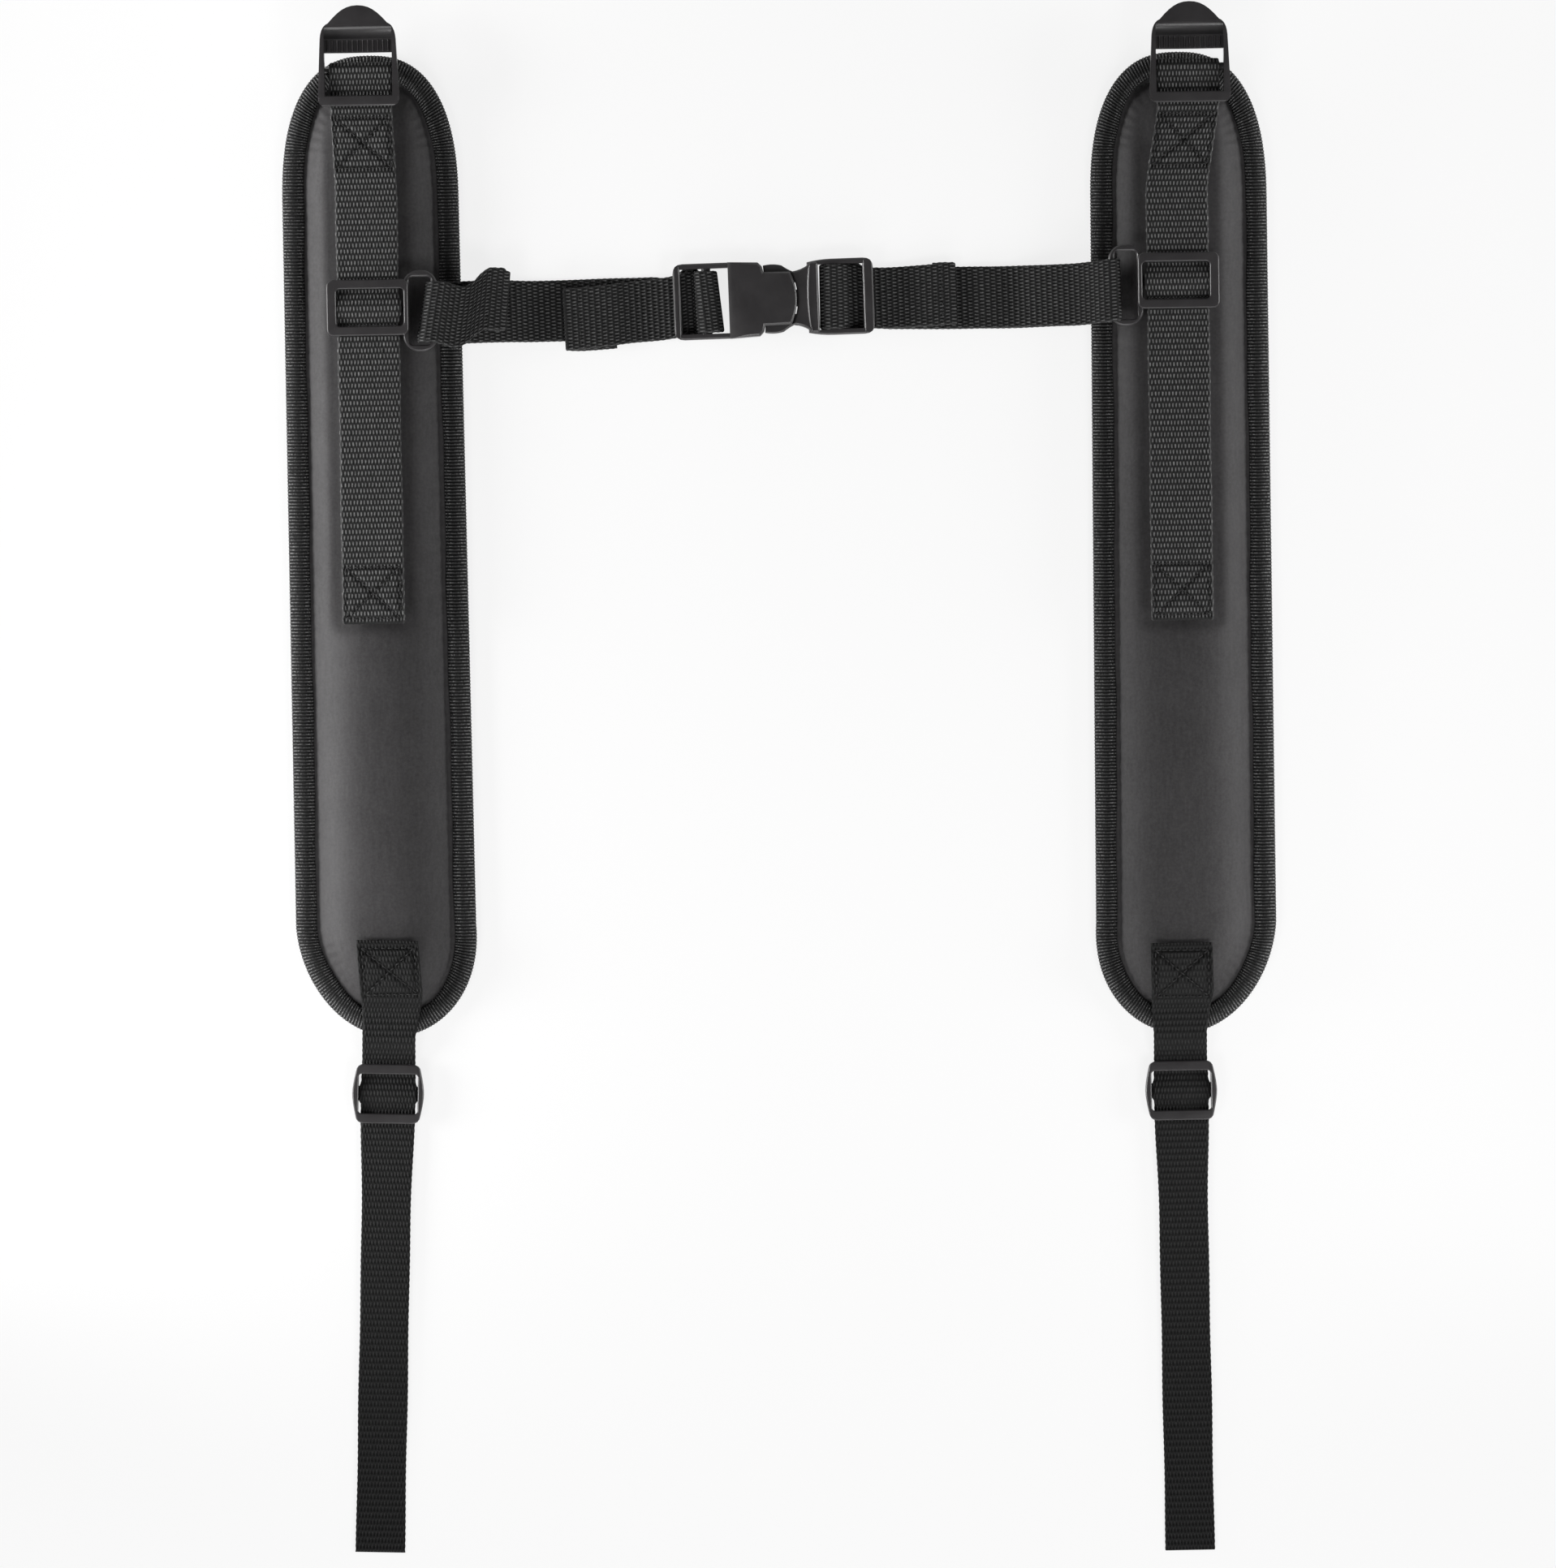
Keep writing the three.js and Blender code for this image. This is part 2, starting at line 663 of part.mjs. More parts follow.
// The arms' plan: root, ear, catch hook behind the female's rim, tapered tip.
function armOutline() {
  const hookX = bodyFront - rimLength - armClearance;
  const neck = catchHalfWidth - armClearance;
  const shape = new THREE.Shape();
  shape.moveTo(-0.2, armRootInner);
  shape.lineTo(-0.2, plateHalfWidth - 0.5);
  shape.quadraticCurveTo(-3, plateHalfWidth + 0.5, -5.6, earHalfWidth - 0.7);
  shape.quadraticCurveTo(-9, earHalfWidth + 0.3, bodyFront + armClearance, earHalfWidth - 0.5);
  shape.lineTo(bodyFront + armClearance + 0.3, neck);
  shape.lineTo(hookX, neck);
  shape.lineTo(hookX, catchHalfWidth + catchDepth);
  shape.quadraticCurveTo(hookX - 3.6, catchHalfWidth + catchDepth, hookX - 6.6, catchHalfWidth - 0.9);
  shape.quadraticCurveTo(hookX - 8, armRootInner + 1.4, hookX - 6.2, armRootInner + 0.8);
  shape.lineTo(hookX, armRootInner + 1);
  return shape;
}

function springArm(sign) {
  const arm = raised(armOutline(), buckleMid - armHeight / 2, buckleMid + armHeight / 2, 0.5, 5);
  return geometryOf(sign > 0 ? arm : arm.mirror([0, 1, 0]));
}

// The frame that webbing is threaded through: narrow where it leaves the body at nearX, rounded at farX.
function adjusterBars(barX, nearX, farX, nearHalf, outerWidth) {
  const railLow = 2.7;
  const railHigh = 7.3;
  const away = Math.sign(farX - nearX);
  const cornerX = farX - away * adjusterCorner;
  const cornerY = buckleHalfWidth - adjusterCorner;
  const plan = new THREE.Shape();
  plan.moveTo(nearX, -nearHalf);
  plan.quadraticCurveTo((nearX + barX) / 2, -buckleHalfWidth, barX, -buckleHalfWidth);
  plan.lineTo(cornerX, -buckleHalfWidth);
  plan.quadraticCurveTo(farX, -buckleHalfWidth, farX, -cornerY);
  plan.lineTo(farX, cornerY);
  plan.quadraticCurveTo(farX, buckleHalfWidth, cornerX, buckleHalfWidth);
  plan.lineTo(barX, buckleHalfWidth);
  plan.quadraticCurveTo((nearX + barX) / 2, buckleHalfWidth, nearX, nearHalf);

  const [x0, x1] = [nearX - away, farX + away].sort((a, b) => a - b);
  const rails = raised(plan, railLow, railHigh, 0.6, 4).subtract(
    box(x0, x1, -adjusterHalfSlot, adjusterHalfSlot, railLow - 1, railHigh + 1),
  );
  const [outer0, outer1] = [farX, farX - away * outerWidth].sort((a, b) => a - b);
  const outerBar = raised(
    roundedRect(outer0, outer1, -buckleHalfWidth, buckleHalfWidth, 1.2),
    outerBarLow, outerBarLow + outerBarHeight, 0.6, 3,
  ).intersect(raised(plan, outerBarLow - 1, outerBarLow + outerBarHeight + 1, 0, 4));
  const wrappedBar = rodAcross(adjusterBarRadius, adjusterHalfSlot + 1, barX, buckleMid);
  return [rails, outerBar, wrappedBar];
}

function femaleBuckle() {
  const plan = new THREE.Shape();
  const corner = 1.6;
  plan.moveTo(bodyRear, -buckleHalfWidth);
  plan.lineTo(bodyFront - corner, 0.5 - buckleHalfWidth);
  plan.lineTo(bodyFront, corner + 0.5 - buckleHalfWidth);
  plan.lineTo(bodyFront + 0.6, -plateHalfWidth);
  plan.lineTo(-2.4, 0.2 - plateHalfWidth);
  plan.quadraticCurveTo(0, -plateHalfWidth / 2, 0, 0);
  plan.quadraticCurveTo(0, plateHalfWidth / 2, -2.4, plateHalfWidth - 0.2);
  plan.lineTo(bodyFront + 0.6, plateHalfWidth);
  plan.lineTo(bodyFront, buckleHalfWidth - corner - 0.5);
  plan.lineTo(bodyFront - corner, buckleHalfWidth - 0.5);
  plan.lineTo(bodyRear, buckleHalfWidth);
  const block = raised(plan, 0, buckleHeight, 0.9, 5);

  // Seen from the side, the body thins towards its slot and a little towards its mouth.
  const thinStart = bodyRear + 8;
  const thinTurn = bodyRear + 3.5;
  const thinDepth = 1.8;
  const mouthThin = 0.6;
  const mouthThinStart = -3;
  const side = new THREE.Shape();
  side.moveTo(bodyRear - 1, thinDepth);
  side.quadraticCurveTo(thinTurn, 0, thinStart, 0);
  side.lineTo(mouthThinStart, 0);
  side.lineTo(1, mouthThin);
  side.lineTo(1, buckleHeight - mouthThin);
  side.lineTo(mouthThinStart, buckleHeight);
  side.lineTo(thinStart, buckleHeight);
  side.quadraticCurveTo(thinTurn, buckleHeight, bodyRear - 1, buckleHeight - thinDepth);
  const shaped = block.intersect(profiled(side, buckleHalfWidth + 1, 4));

  const inner = buckleHalfWidth - bodySideWall;
  const cavityEnd = bodyRear + bodyWall;
  const cavityLow = bodyWall;
  const cavityHigh = buckleHeight - bodyWall;
  const cavity = box(
    cavityEnd, bodyFront - rimLength, -inner, inner, cavityLow, cavityHigh,
  );
  const rimWay = box(
    bodyFront - rimLength - 0.1, bodyFront + 0.1, -catchHalfWidth, catchHalfWidth, cavityLow, cavityHigh,
  );
  const mouth = box(bodyFront, 2, -buckleHalfWidth - 1, buckleHalfWidth + 1, cavityLow, cavityHigh);
  const hollow = shaped.subtract(cavity).subtract(rimWay).subtract(mouth);

  const farX = femaleBarX - femaleGrip - outerBarWidth;
  const bars = adjusterBars(femaleBarX, bodyRear + bodyWall, farX, buckleHalfWidth, outerBarWidth);
  return geometryOf(joined([hollow, ...bars]));
}

function maleBuckle() {
  const plan = new THREE.Shape();
  const neck = plateHalfWidth - 0.2;
  plan.moveTo(0.4, 0);
  plan.quadraticCurveTo(0.4, -plateHalfWidth / 2, -2, -neck);
  plan.quadraticCurveTo(3.2, -neck - 0.6, maleBaseRear + 0.6, -baseHalfWidth);
  plan.quadraticCurveTo(maleBaseRear - 0.5, -baseHalfWidth / 2, maleBaseRear - 0.5, 0);
  plan.quadraticCurveTo(maleBaseRear - 0.5, baseHalfWidth / 2, maleBaseRear + 0.6, baseHalfWidth);
  plan.quadraticCurveTo(3.2, neck + 0.6, -2, neck);
  plan.quadraticCurveTo(0.4, plateHalfWidth / 2, 0.4, 0);
  // Pockets that the arms' roots sit in.
  const pocketHalf = armHeight / 2 + seatGap;
  const pocketInner = armRootInner - seatGap;
  const pockets = [-1, 1].map((sign) => {
    const [y0, y1] = [sign * pocketInner, sign * (plateHalfWidth + 1)].sort((a, b) => a - b);
    return box(-4, seatGap - 0.2, y0, y1, buckleMid - pocketHalf, buckleMid + pocketHalf);
  });
  const base = raised(plan, 1, buckleHeight - 1, 0.7, 5).subtract(joined(pockets));

  const guide = raised(
    roundedRect(bodyFront - guideDepth, 2, -guideHalfWidth, guideHalfWidth, 1.6),
    buckleMid - armHeight / 2, buckleMid + armHeight / 2, 0.4, 3,
  );
  const frontBar = raised(
    roundedRect(maleBaseRear - 1, frontBarEnd, -baseHalfWidth, baseHalfWidth, 1),
    buckleMid - adjusterBarRadius, buckleHeight - 1.5, 0.7, 3,
  );
  const farX = maleBarX + maleGrip + maleOuterBarWidth;
  const bars = adjusterBars(maleBarX, maleBaseRear - 1, farX, baseHalfWidth, maleOuterBarWidth);
  return geometryOf(joined([base, guide, frontBar, ...bars]));
}

// ---------------------------------------------------------------- chest webbing
// Drawn along +Y from ring to buckle, then turned to lie along X.
const chestWrapRadius = ringHeight / 2 + chestWrapClearance + webThickness / 2;
const buckleWrapRadius = adjusterBarRadius + seatGap + webThickness / 2;

// Run is measured from the ring's outer bar. The flap lies on the strap, or below it.
function chestPath(barRun, grip, flapOnTop, flapLength, tailLength) {
  const ringZ = frontPlyMid + ringMidZ;
  const floorMid = webThickness / 2;
  const lowZ = ringZ - chestWrapRadius;
  const plies = chestWrapRadius * 2;
  const straight = ringWall / 2; // the plies leave the ring level
  const closing = 11; // where the two plies have come together
  const share = (run, end) => clamp((run - straight) / (end - straight), 0, 1);

  // Height of the lower ply, and of the ply that lies on it.
  const lower = (run) => lerp(lowZ, floorMid, share(run, slopeLength));
  const upper = (run) => lower(run) + lerp(plies, plyStep, share(run, closing));
  const strapZ = flapOnTop ? lower : (run) => (run < flapLength + 4 ? upper(run) : lower(run));
  const flapZ = flapOnTop ? upper : lower;

  const flap = [flapLength, (closing + flapLength) / 2, closing, straight].map((run) => [run, flapZ(run)]);
  const turn = flapOnTop
    ? arc(0, ringZ, chestWrapRadius, 90, 270, 10)
    : arc(0, ringZ, chestWrapRadius, -90, -270, 10);
  const strapRuns = [straight, closing, 20, slopeLength, barRun - 22];
  if (!flapOnTop) strapRuns.splice(4, 0, flapLength + 2, flapLength + 9);
  const strap = strapRuns.map((run) => [run, strapZ(run)]);

  const outer = barRun - grip;
  const underGrip = [
    [outer - 1.5, floorMid + 0.2],
    [outer + 2, floorMid + 0.5],
  ];
  const wrap = arc(barRun, buckleMid, buckleWrapRadius, -100, 100, 10);
  const tailMid = floorMid + plyStep;
  const tail = [
    [outer + 2, tailMid + 0.9],
    [outer - 1.5, tailMid + 0.3],
    [outer - 6, tailMid],
    [barRun - tailLength, tailMid],
  ];
  return [...flap, ...turn, ...strap, ...underGrip, ...wrap, ...tail];
}

function chestWebbing(barRun, grip, flapOnTop, flapLength, tailLength) {
  const path = chestPath(barRun, grip, flapOnTop, flapLength, tailLength);
  return ribbon(path, webThickness, webHalfWidth);
}

// ---------------------------------------------------------------- lower strap and tri-glide
// Follows the pad's falling face down to its tip.
function lowerAnchor(side) {
  const tip = -padLength / 2;
  const stations = [];
  for (let i = 0; i <= 8; i += 1) {
    const run = tip + seatGap + anchorLength * (1 - i / 8);
    const low = Math.max(crown(run - tip), rimThickness) + seatGap;
    const t = Math.min((run - tip) / 16, 1);
    stations.push({
      run,
      low,
      high: low + anchorThickness,
      side: lerp(side.strapShift, toeAt(run, side.sign), t),
      half: lerp(strapHalfWidthTop, webHalfWidth, t),
    });
  }
  return strip(stations);
}

// Drawn from the hinge line at the pad's tip, running towards -Y.
function lowerStrap(length) {
  const rimLevel = rimThickness + seatGap;
  const onFloor = length - 3;
  const taperLength = strapTaperEnd - strapTaperStart;
  const endNarrowing = 1.2; // the cut end's corners are rounded off
  const halfAt = (run) =>
    lerp(strapHalfWidthTop, strapHalfWidth, clamp((run - strapTaperStart) / taperLength, 0, 1));
  const levels = [
    [seatGap, rimLevel],
    [1.4, rimLevel],
    [strapRamp, strapLow],
    [strapTaperStart, strapLow],
    [strapTaperEnd, strapLow],
    [length - strapEndDip, strapLow],
    [onFloor, 0],
    [length, 0],
  ];
  return strip(
    levels.map(([run, low]) => ({
      run: -run,
      low,
      high: low + strapThickness,
      half: halfAt(run) - (run === length ? endNarrowing : 0),
    })),
  );
}

// Drawn about its middle bar, with z = 0 on the floor.
function triGlide() {
  const barLow = strapLow + strapThickness + seatGap;
  const barHigh = barLow + glideBarHeight;
  const outline = new THREE.Shape();
  const corner = 3;
  const endX = glideEndHalfWidth;
  const sideX = endX + 0.4; // where the swelling of the sides starts
  const endY = glideHalfLength;
  outline.moveTo(corner - endX, -endY);
  outline.lineTo(endX - corner, -endY);
  outline.quadraticCurveTo(endX, -endY, sideX, corner - endY);
  outline.quadraticCurveTo(glideHalfWidth, -corner, glideHalfWidth, 0);
  outline.quadraticCurveTo(glideHalfWidth, corner, sideX, endY - corner);
  outline.quadraticCurveTo(endX, endY, endX - corner, endY);
  outline.lineTo(corner - endX, endY);
  outline.quadraticCurveTo(-endX, endY, -sideX, endY - corner);
  outline.quadraticCurveTo(-glideHalfWidth, corner, -glideHalfWidth, 0);
  outline.quadraticCurveTo(-glideHalfWidth, -corner, -sideX, corner - endY);
  outline.quadraticCurveTo(-endX, -endY, corner - endX, -endY);

  const slotY = glideHalfLength - glideBarWidth;
  const slot = glideSlotHalf - 0.5;
  const framePlan = outline.clone();
  framePlan.holes.push(roundedRect(-slot, slot, -slotY, slotY, 1.2));
  const frame = raised(framePlan, barLow, barHigh, 0.4, 4);
  const rails = raised(outline, 0, barLow + 0.6, 0.3, 4).subtract(
    box(-slot, slot, -glideHalfLength - 1, glideHalfLength + 1, -1, barHigh + 1),
  );
  const middle = box(-slot - 0.6, slot + 0.6, -glideMiddleHalf, glideMiddleHalf, 0, glideMiddleHeight);
  return geometryOf(joined([frame, rails, middle]));
}

// ---------------------------------------------------------------- assembly
function placed(parent, x, y, z, turn = 0) {
  const group = new THREE.Group();
  group.position.set(x, y, z);
  group.rotation.z = radians(turn);
  parent.add(group);
  return group;
}

const harness = new THREE.Group();
const ringBars = {};

for (const [name, side] of Object.entries(sides)) {
  const pad = placed(harness, (side.sign * padSpacing) / 2, padMidY + side.lift, 0, side.lean);
  const outline = padOutline(side.sign);
  pad.add(
    piece(`${name}_foam_core`, foamCore(outline), "foam"),
    piece(`${name}_face_fabric`, faceFabric(outline), "face"),
    piece(`${name}_lining`, lining(outline), "lining"),
    piece(`${name}_edge_binding`, edgeBinding(outline), "tape"),
    piece(`${name}_face_webbing`, faceWebbing(side), "webbing"),
    piece(`${name}_lower_anchor`, lowerAnchor(side), "webbing"),
  );

  const hinge = placed(pad, 0, hingeV, frontPlyHigh);
  hinge.name = `${name}_lock_hinge`;
  hinge.add(piece(`${name}_top_loop`, topLoop(side), "webbing"));
  const lock = placed(hinge, side.lockShift, lockBarReach, sewingBarZ - frontPlyHigh);
  lock.add(piece(`${name}_ladder_lock`, ladderLock(), "plastic"));

  const glide = placed(pad, webShift - side.sign * sliderPlay, hingeV - side.sliderReach, frontPlyMid);
  glide.name = `${name}_slider_place`;
  glide.add(piece(`${name}_slider`, slider(side.sign), "plastic"));
  harness.updateMatrixWorld(true);
  ringBars[name] = glide.localToWorld(new THREE.Vector3(-side.sign * ringBarX, -ringDrop, ringMidZ));

  const strapRoot = placed(pad, side.strapShift, -padLength / 2, 0, side.strapLean - side.lean);
  strapRoot.name = `${name}_strap_hinge`;
  strapRoot.add(piece(`${name}_lower_strap`, lowerStrap(strapLength + side.lift), "strap"));
  const triGlidePlace = placed(strapRoot, 0, -glideReach, 0);
  triGlidePlace.add(piece(`${name}_tri_glide`, triGlide(), "plastic"));
}

// The chest strap spans the two rings' outer bars.
const span = ringBars.right.clone().sub(ringBars.left);
const middle = ringBars.left.clone().add(ringBars.right).multiplyScalar(0.5);
const chest = placed(harness, middle.x, middle.y, 0, degrees(Math.atan2(span.y, span.x)));
chest.name = "chest_line";
const halfSpan = Math.hypot(span.x, span.y) / 2;
const buckle = placed(chest, buckleOffset, 0, 0);
buckle.name = "buckle_mouth";
buckle.add(
  piece("female_buckle", femaleBuckle(), "plastic"),
  piece("male_buckle", maleBuckle(), "plastic"),
  piece("upper_spring_arm", springArm(1), "plastic"),
  piece("lower_spring_arm", springArm(-1), "plastic"),
);

const leftRun = placed(chest, -halfSpan, 0, 0, -90);
leftRun.add(
  piece(
    "left_chest_webbing",
    chestWebbing(halfSpan + buckleOffset + femaleBarX, femaleGrip, true, leftFlapLength, leftTailLength),
    "webbing",
  ),
);
const rightRun = placed(chest, halfSpan, 0, 0, 90);
rightRun.add(
  piece(
    "right_chest_webbing",
    chestWebbing(halfSpan - buckleOffset - maleBarX, maleGrip, false, rightFlapLength, rightTailLength),
    "webbing",
  ),
);

export default harness;
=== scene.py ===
"""Looks of a padded shoulder harness that lies flat on a pale floor, built around its solid model.

Sizes are in millimetres and are turned into metres where meshes are made. Each pad has a flat
frame of its own: u across it, v along it from its middle towards the shoulder, z up.
"""
import json
import math

import bmesh
import bpy
import numpy as np
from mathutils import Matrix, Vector
from mathutils.kdtree import KDTree

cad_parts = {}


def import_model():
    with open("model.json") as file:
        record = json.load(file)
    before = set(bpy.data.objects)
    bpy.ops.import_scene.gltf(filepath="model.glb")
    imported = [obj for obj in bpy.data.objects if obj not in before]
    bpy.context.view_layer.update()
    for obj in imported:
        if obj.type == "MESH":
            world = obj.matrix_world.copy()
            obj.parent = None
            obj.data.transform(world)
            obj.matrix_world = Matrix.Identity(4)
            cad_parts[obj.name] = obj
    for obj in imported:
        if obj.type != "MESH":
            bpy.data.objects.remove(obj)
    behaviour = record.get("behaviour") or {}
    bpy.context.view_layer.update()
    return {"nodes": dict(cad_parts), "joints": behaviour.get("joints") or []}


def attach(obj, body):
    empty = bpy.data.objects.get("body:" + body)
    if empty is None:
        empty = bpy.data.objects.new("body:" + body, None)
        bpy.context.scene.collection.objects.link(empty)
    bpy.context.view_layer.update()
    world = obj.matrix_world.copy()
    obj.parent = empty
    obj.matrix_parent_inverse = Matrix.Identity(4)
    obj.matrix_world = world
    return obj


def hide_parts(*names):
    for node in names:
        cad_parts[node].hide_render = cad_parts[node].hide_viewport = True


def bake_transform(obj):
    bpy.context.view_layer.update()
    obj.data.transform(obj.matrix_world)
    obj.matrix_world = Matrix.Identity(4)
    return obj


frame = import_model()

MM = 0.001

# ---------------------------------------------------------------- sizes, in millimetres
# Pads
PAD_LENGTH = 386.0
HALF_TOP = 33.9  # half width towards the shoulder
HALF_BOTTOM = 34.9
CROWN_HEIGHT = 14.0
TOP_END, TOP_POWER = 57.6, 2.5  # length of the rounded end, and how square it is
BOTTOM_END, BOTTOM_POWER = 43.0, 2.0
TOE_IN, TOE_LENGTH = 3.4, 66.0  # the lower end turns towards the other pad
SPINE_INSET = 38.0  # the ridge stops this far from both tips
RIM_HEIGHT = 4.8
SEAM_INSET = 8.5
SEAM_HEIGHT = 3.6
CROWN_POWER = 2.6  # how full the crown is
CLOTH_DROP = 0.6  # the cushion's cloth lies this far under the pad's outer form
VALLEY_HALF, VALLEY_DEPTH = 15.4, 2.0  # the webbing presses the pad down
PUCKER_INSET, PUCKER_REACH = 10.5, 2.6  # where the seam gathers the cloth

# Binding tape, its section by inset from the rim and height: first the side that shows
TAPE_OUTSIDE = [
    (7.6, 3.4), (7.0, 3.9), (6.1, 4.6), (4.8, 5.05), (3.1, 5.15), (1.4, 4.8),
    (0.1, 4.1), (-0.7, 3.1), (-0.8, 2.0), (-0.2, 0.9), (1.0, 0.2), (3.2, 0.0),
]
TAPE_INSIDE = [(8.2, 0.0), (8.3, 0.9), (2.4, 1.1), (1.2, 2.2), (2.4, 3.2), (7.2, 3.1)]
TAPE_MIDDLE_HEIGHT = 2.4
TAPE_RIB, TAPE_RIB_HEIGHT = 1.3, 0.15
TAPE_STEPS_PER_RIB = 5
STITCH_PITCH, STITCH_PULL = 2.9, 0.16  # each stitch draws the tape down
TAPE_SEAM_INSET, TAPE_SEAM_HEIGHT = 6.6, 4.3

# Cloth run that swells the pads
FORM_DROP = 0.9
FORM_VOXEL = 4.5
HELD_BELOW = 5.5  # points below this height don't move
CLOTH_PRESSURE = 4.0
CLOTH_TENSION = 12
CLOTH_FRAMES = 20
SWELL_CAP = 1.5  # the most that a point moves

# Webbing
WEB_HALF = 12.2
WEB_THICK = 1.4
HINGE_V = 171.0  # the top loop's hinge line, from the pad's middle
WEB_END_V = -31.0
BOX_LENGTH = 23.5  # of the part that is sewn down below the hinge line
FOLD_UNDER = 26.0  # at the sewn lower end
WEB_SHIFT = -1.2  # the webbing's middle, across the pad
VEER_LENGTH = 30.0  # over which it veers towards the ladder-lock
REAR_MID = 15.0  # heights of the lower and the upper ply
FRONT_MID = 16.7
BAR_REACH, BAR_LEVEL, LOOP_RADIUS = 16.0, 15.85, 2.6  # the ladder-lock's sewing bar
ROW_PITCH, ROW_HEIGHT = 2.3, 0.12
DASH_PITCH = 1.35
STEP = 0.42  # between the webbing's cross sections
FLOOR_GAP = 0.02
EDGE_WANDER, EDGE_NOTCH = 0.12, 0.07  # how unevenly a webbing's edge runs
DENT_DEPTH, DENT_REACH = 0.7, 0.85  # a line of stitches draws the webbing in
END_MARGIN = 0.25  # added to the distance from a cut end

# Lower straps
STRAP_HALF, STRAP_HALF_TOP = 9.7, 10.6  # half width, and at the pad
STRAP_THICK = 1.3
STRAP_LEVEL = 2.3  # its height inside the tri-glide
STRAP_ROW, STRAP_ROW_HEIGHT, STRAP_DASH = 2.45, 0.22, 1.3
GLIDE_REACH = 23.3  # from the pad's tip to the tri-glide
TIP_BLEND = 16.0  # the anchor turns from the pad's line to the strap's over this length
ANCHOR_GAP = 0.9
ANCHOR_STITCH_LIFT = 0.62
ANCHOR_BOX_HALF = 10.4

# Where the sides differ: shifts run across the pad, slider_v along it
SIDES = {
    "left": {
        "sign": -1,
        "lock_shift": -3.3,
        "slider_v": 93.6,
        "strap_shift": 1.4,
        "strap_length": 204.5,
        "anchor_length": 37.0,
        "anchor_lean": 0.3,
    },
    "right": {
        "sign": 1,
        "lock_shift": 4.6,
        "slider_v": 102.9,
        "strap_shift": -4.0,
        "strap_length": 205.0,
        "anchor_length": 34.8,
        "anchor_lean": -1.8,
    },
}
LOCK_PLAY = 0.8  # the webbing stops this far short of the ladder-lock's middle

# Chest strap, by its distance from the ring's bar or from the buckle's mouth
CHEST_THICK = 1.3
CHEST_ROW_HEIGHT = 0.35
PLY = CHEST_THICK + 0.05  # from the middle of one ply to the next
FEMALE_BAR, FEMALE_GRIP = 35.5, 10.3  # mouth to wrapped bar, and from there to the outer bar
MALE_BAR, MALE_GRIP = 14.0, 12.2
LEFT_TAIL, RIGHT_TAIL = 56.3, 48.4  # from the wrapped bars
RIGHT_FLAP = 52.0  # from the ring
FILLED_HALF = 12.7  # where the webbing fills the buckle's frame
UNDER_HALF = 13.6  # and where it lies under the frame
BUCKLE_BAR_LEVEL = 5.0
RING_WRAP = 2.7  # from the ring's middle to the webbing's
RING_LEAN = -0.187  # slope of the left strap across its ring
WINDOW_HALF, WINDOW_REACH = 6.6, 9.5  # the bulge over a slide's middle bar

# Moulded edges
LARGE_ROUND, GLIDE_ROUND, ARM_ROUND = 0.8, 0.7, 0.5
ROUND_SEGMENTS = 4
WELD = 0.004  # points closer than this are one
FLAT_ANGLE = 1.0  # faces that meet at less than this, in degrees, are joined
ROUND_ANGLE = 24.0  # edges sharper than this are rounded
SHARP_ANGLE = 40.0  # and those still sharper than this stay crisp

# View
VIEW_X, VIEW_Y = -0.8, -2.9
VIEW_HEIGHT = 618.2
LENS, SENSOR = 250.0, 36.0

# Stage, in metres
FLOOR_SIZE, FLOOR_DROP = 8, 0.0003
FLOOR_GLOW = 0.8
WORLD_STRENGTH = 0.14


# ---------------------------------------------------------------- places, from the joints
joints = {joint["name"]: joint for joint in frame["joints"]}


class Place:
    """A flat frame in plan: its origin, its X across and its Y along, in millimetres."""

    def __init__(self, origin, across):
        self.origin = np.array([origin[0], origin[1]], float)
        direction = np.array([across[0], across[1]], float)
        self.x = direction / np.linalg.norm(direction)
        self.y = np.array([-self.x[1], self.x[0]])

    def moved(self, u, v):
        return Place(self.origin + self.x * u + self.y * v, self.x)

    def turned(self, degrees):
        angle = math.radians(degrees)
        return Place(self.origin, self.x * math.cos(angle) + self.y * math.sin(angle))

    def world(self, points):
        p = np.array(points, float)
        plan = self.origin + p[..., :1] * self.x + p[..., 1:2] * self.y
        return np.concatenate([plan, p[..., 2:3]], axis=-1)

    def local(self, points):
        p = np.array(points, float)
        flat = p[:, :2] - self.origin
        return np.stack([flat @ self.x, flat @ self.y, p[:, 2]], axis=1)

    def metres(self, u, v, z):
        return tuple(self.world([u, v, z]) * MM)


def joint_point(name):
    return np.array(joints[name]["pos_m"]) / MM


pads = {}
straps = {}
for name, side in SIDES.items():
    fold = joints[f"{name}_lock_fold"]
    hinge = Place(joint_point(f"{name}_lock_fold"), fold["axis"])
    pads[name] = hinge.moved(0, -HINGE_V)
    swing = joints[f"{name}_strap_swing"]
    straps[name] = Place(joint_point(f"{name}_strap_swing"), [-c for c in swing["axis"]])

ring_left = joint_point("left_chest_swing")
ring_right = joint_point("right_chest_swing")
release = joints["buckle_release"]["axis"]
arm_roots = (joint_point("upper_arm_squeeze") + joint_point("lower_arm_squeeze")) / 2
left_run = Place(ring_left, release)
right_run = Place(ring_right, release).turned(180)
mouth = Place(arm_roots, release).moved(0.2, 0)  # the female half's open end
RING_LEVEL = ring_left[2]
HALF_SPAN = np.linalg.norm((ring_right - ring_left)[:2]) / 2
mouth_run = float(np.dot(mouth.origin - left_run.origin, left_run.x))


# ---------------------------------------------------------------- materials
def srgb(value):
    """A display value from 0 to 255 as linear light."""
    value /= 255
    return value / 12.92 if value <= 0.04045 else ((value + 0.055) / 1.055) ** 2.4


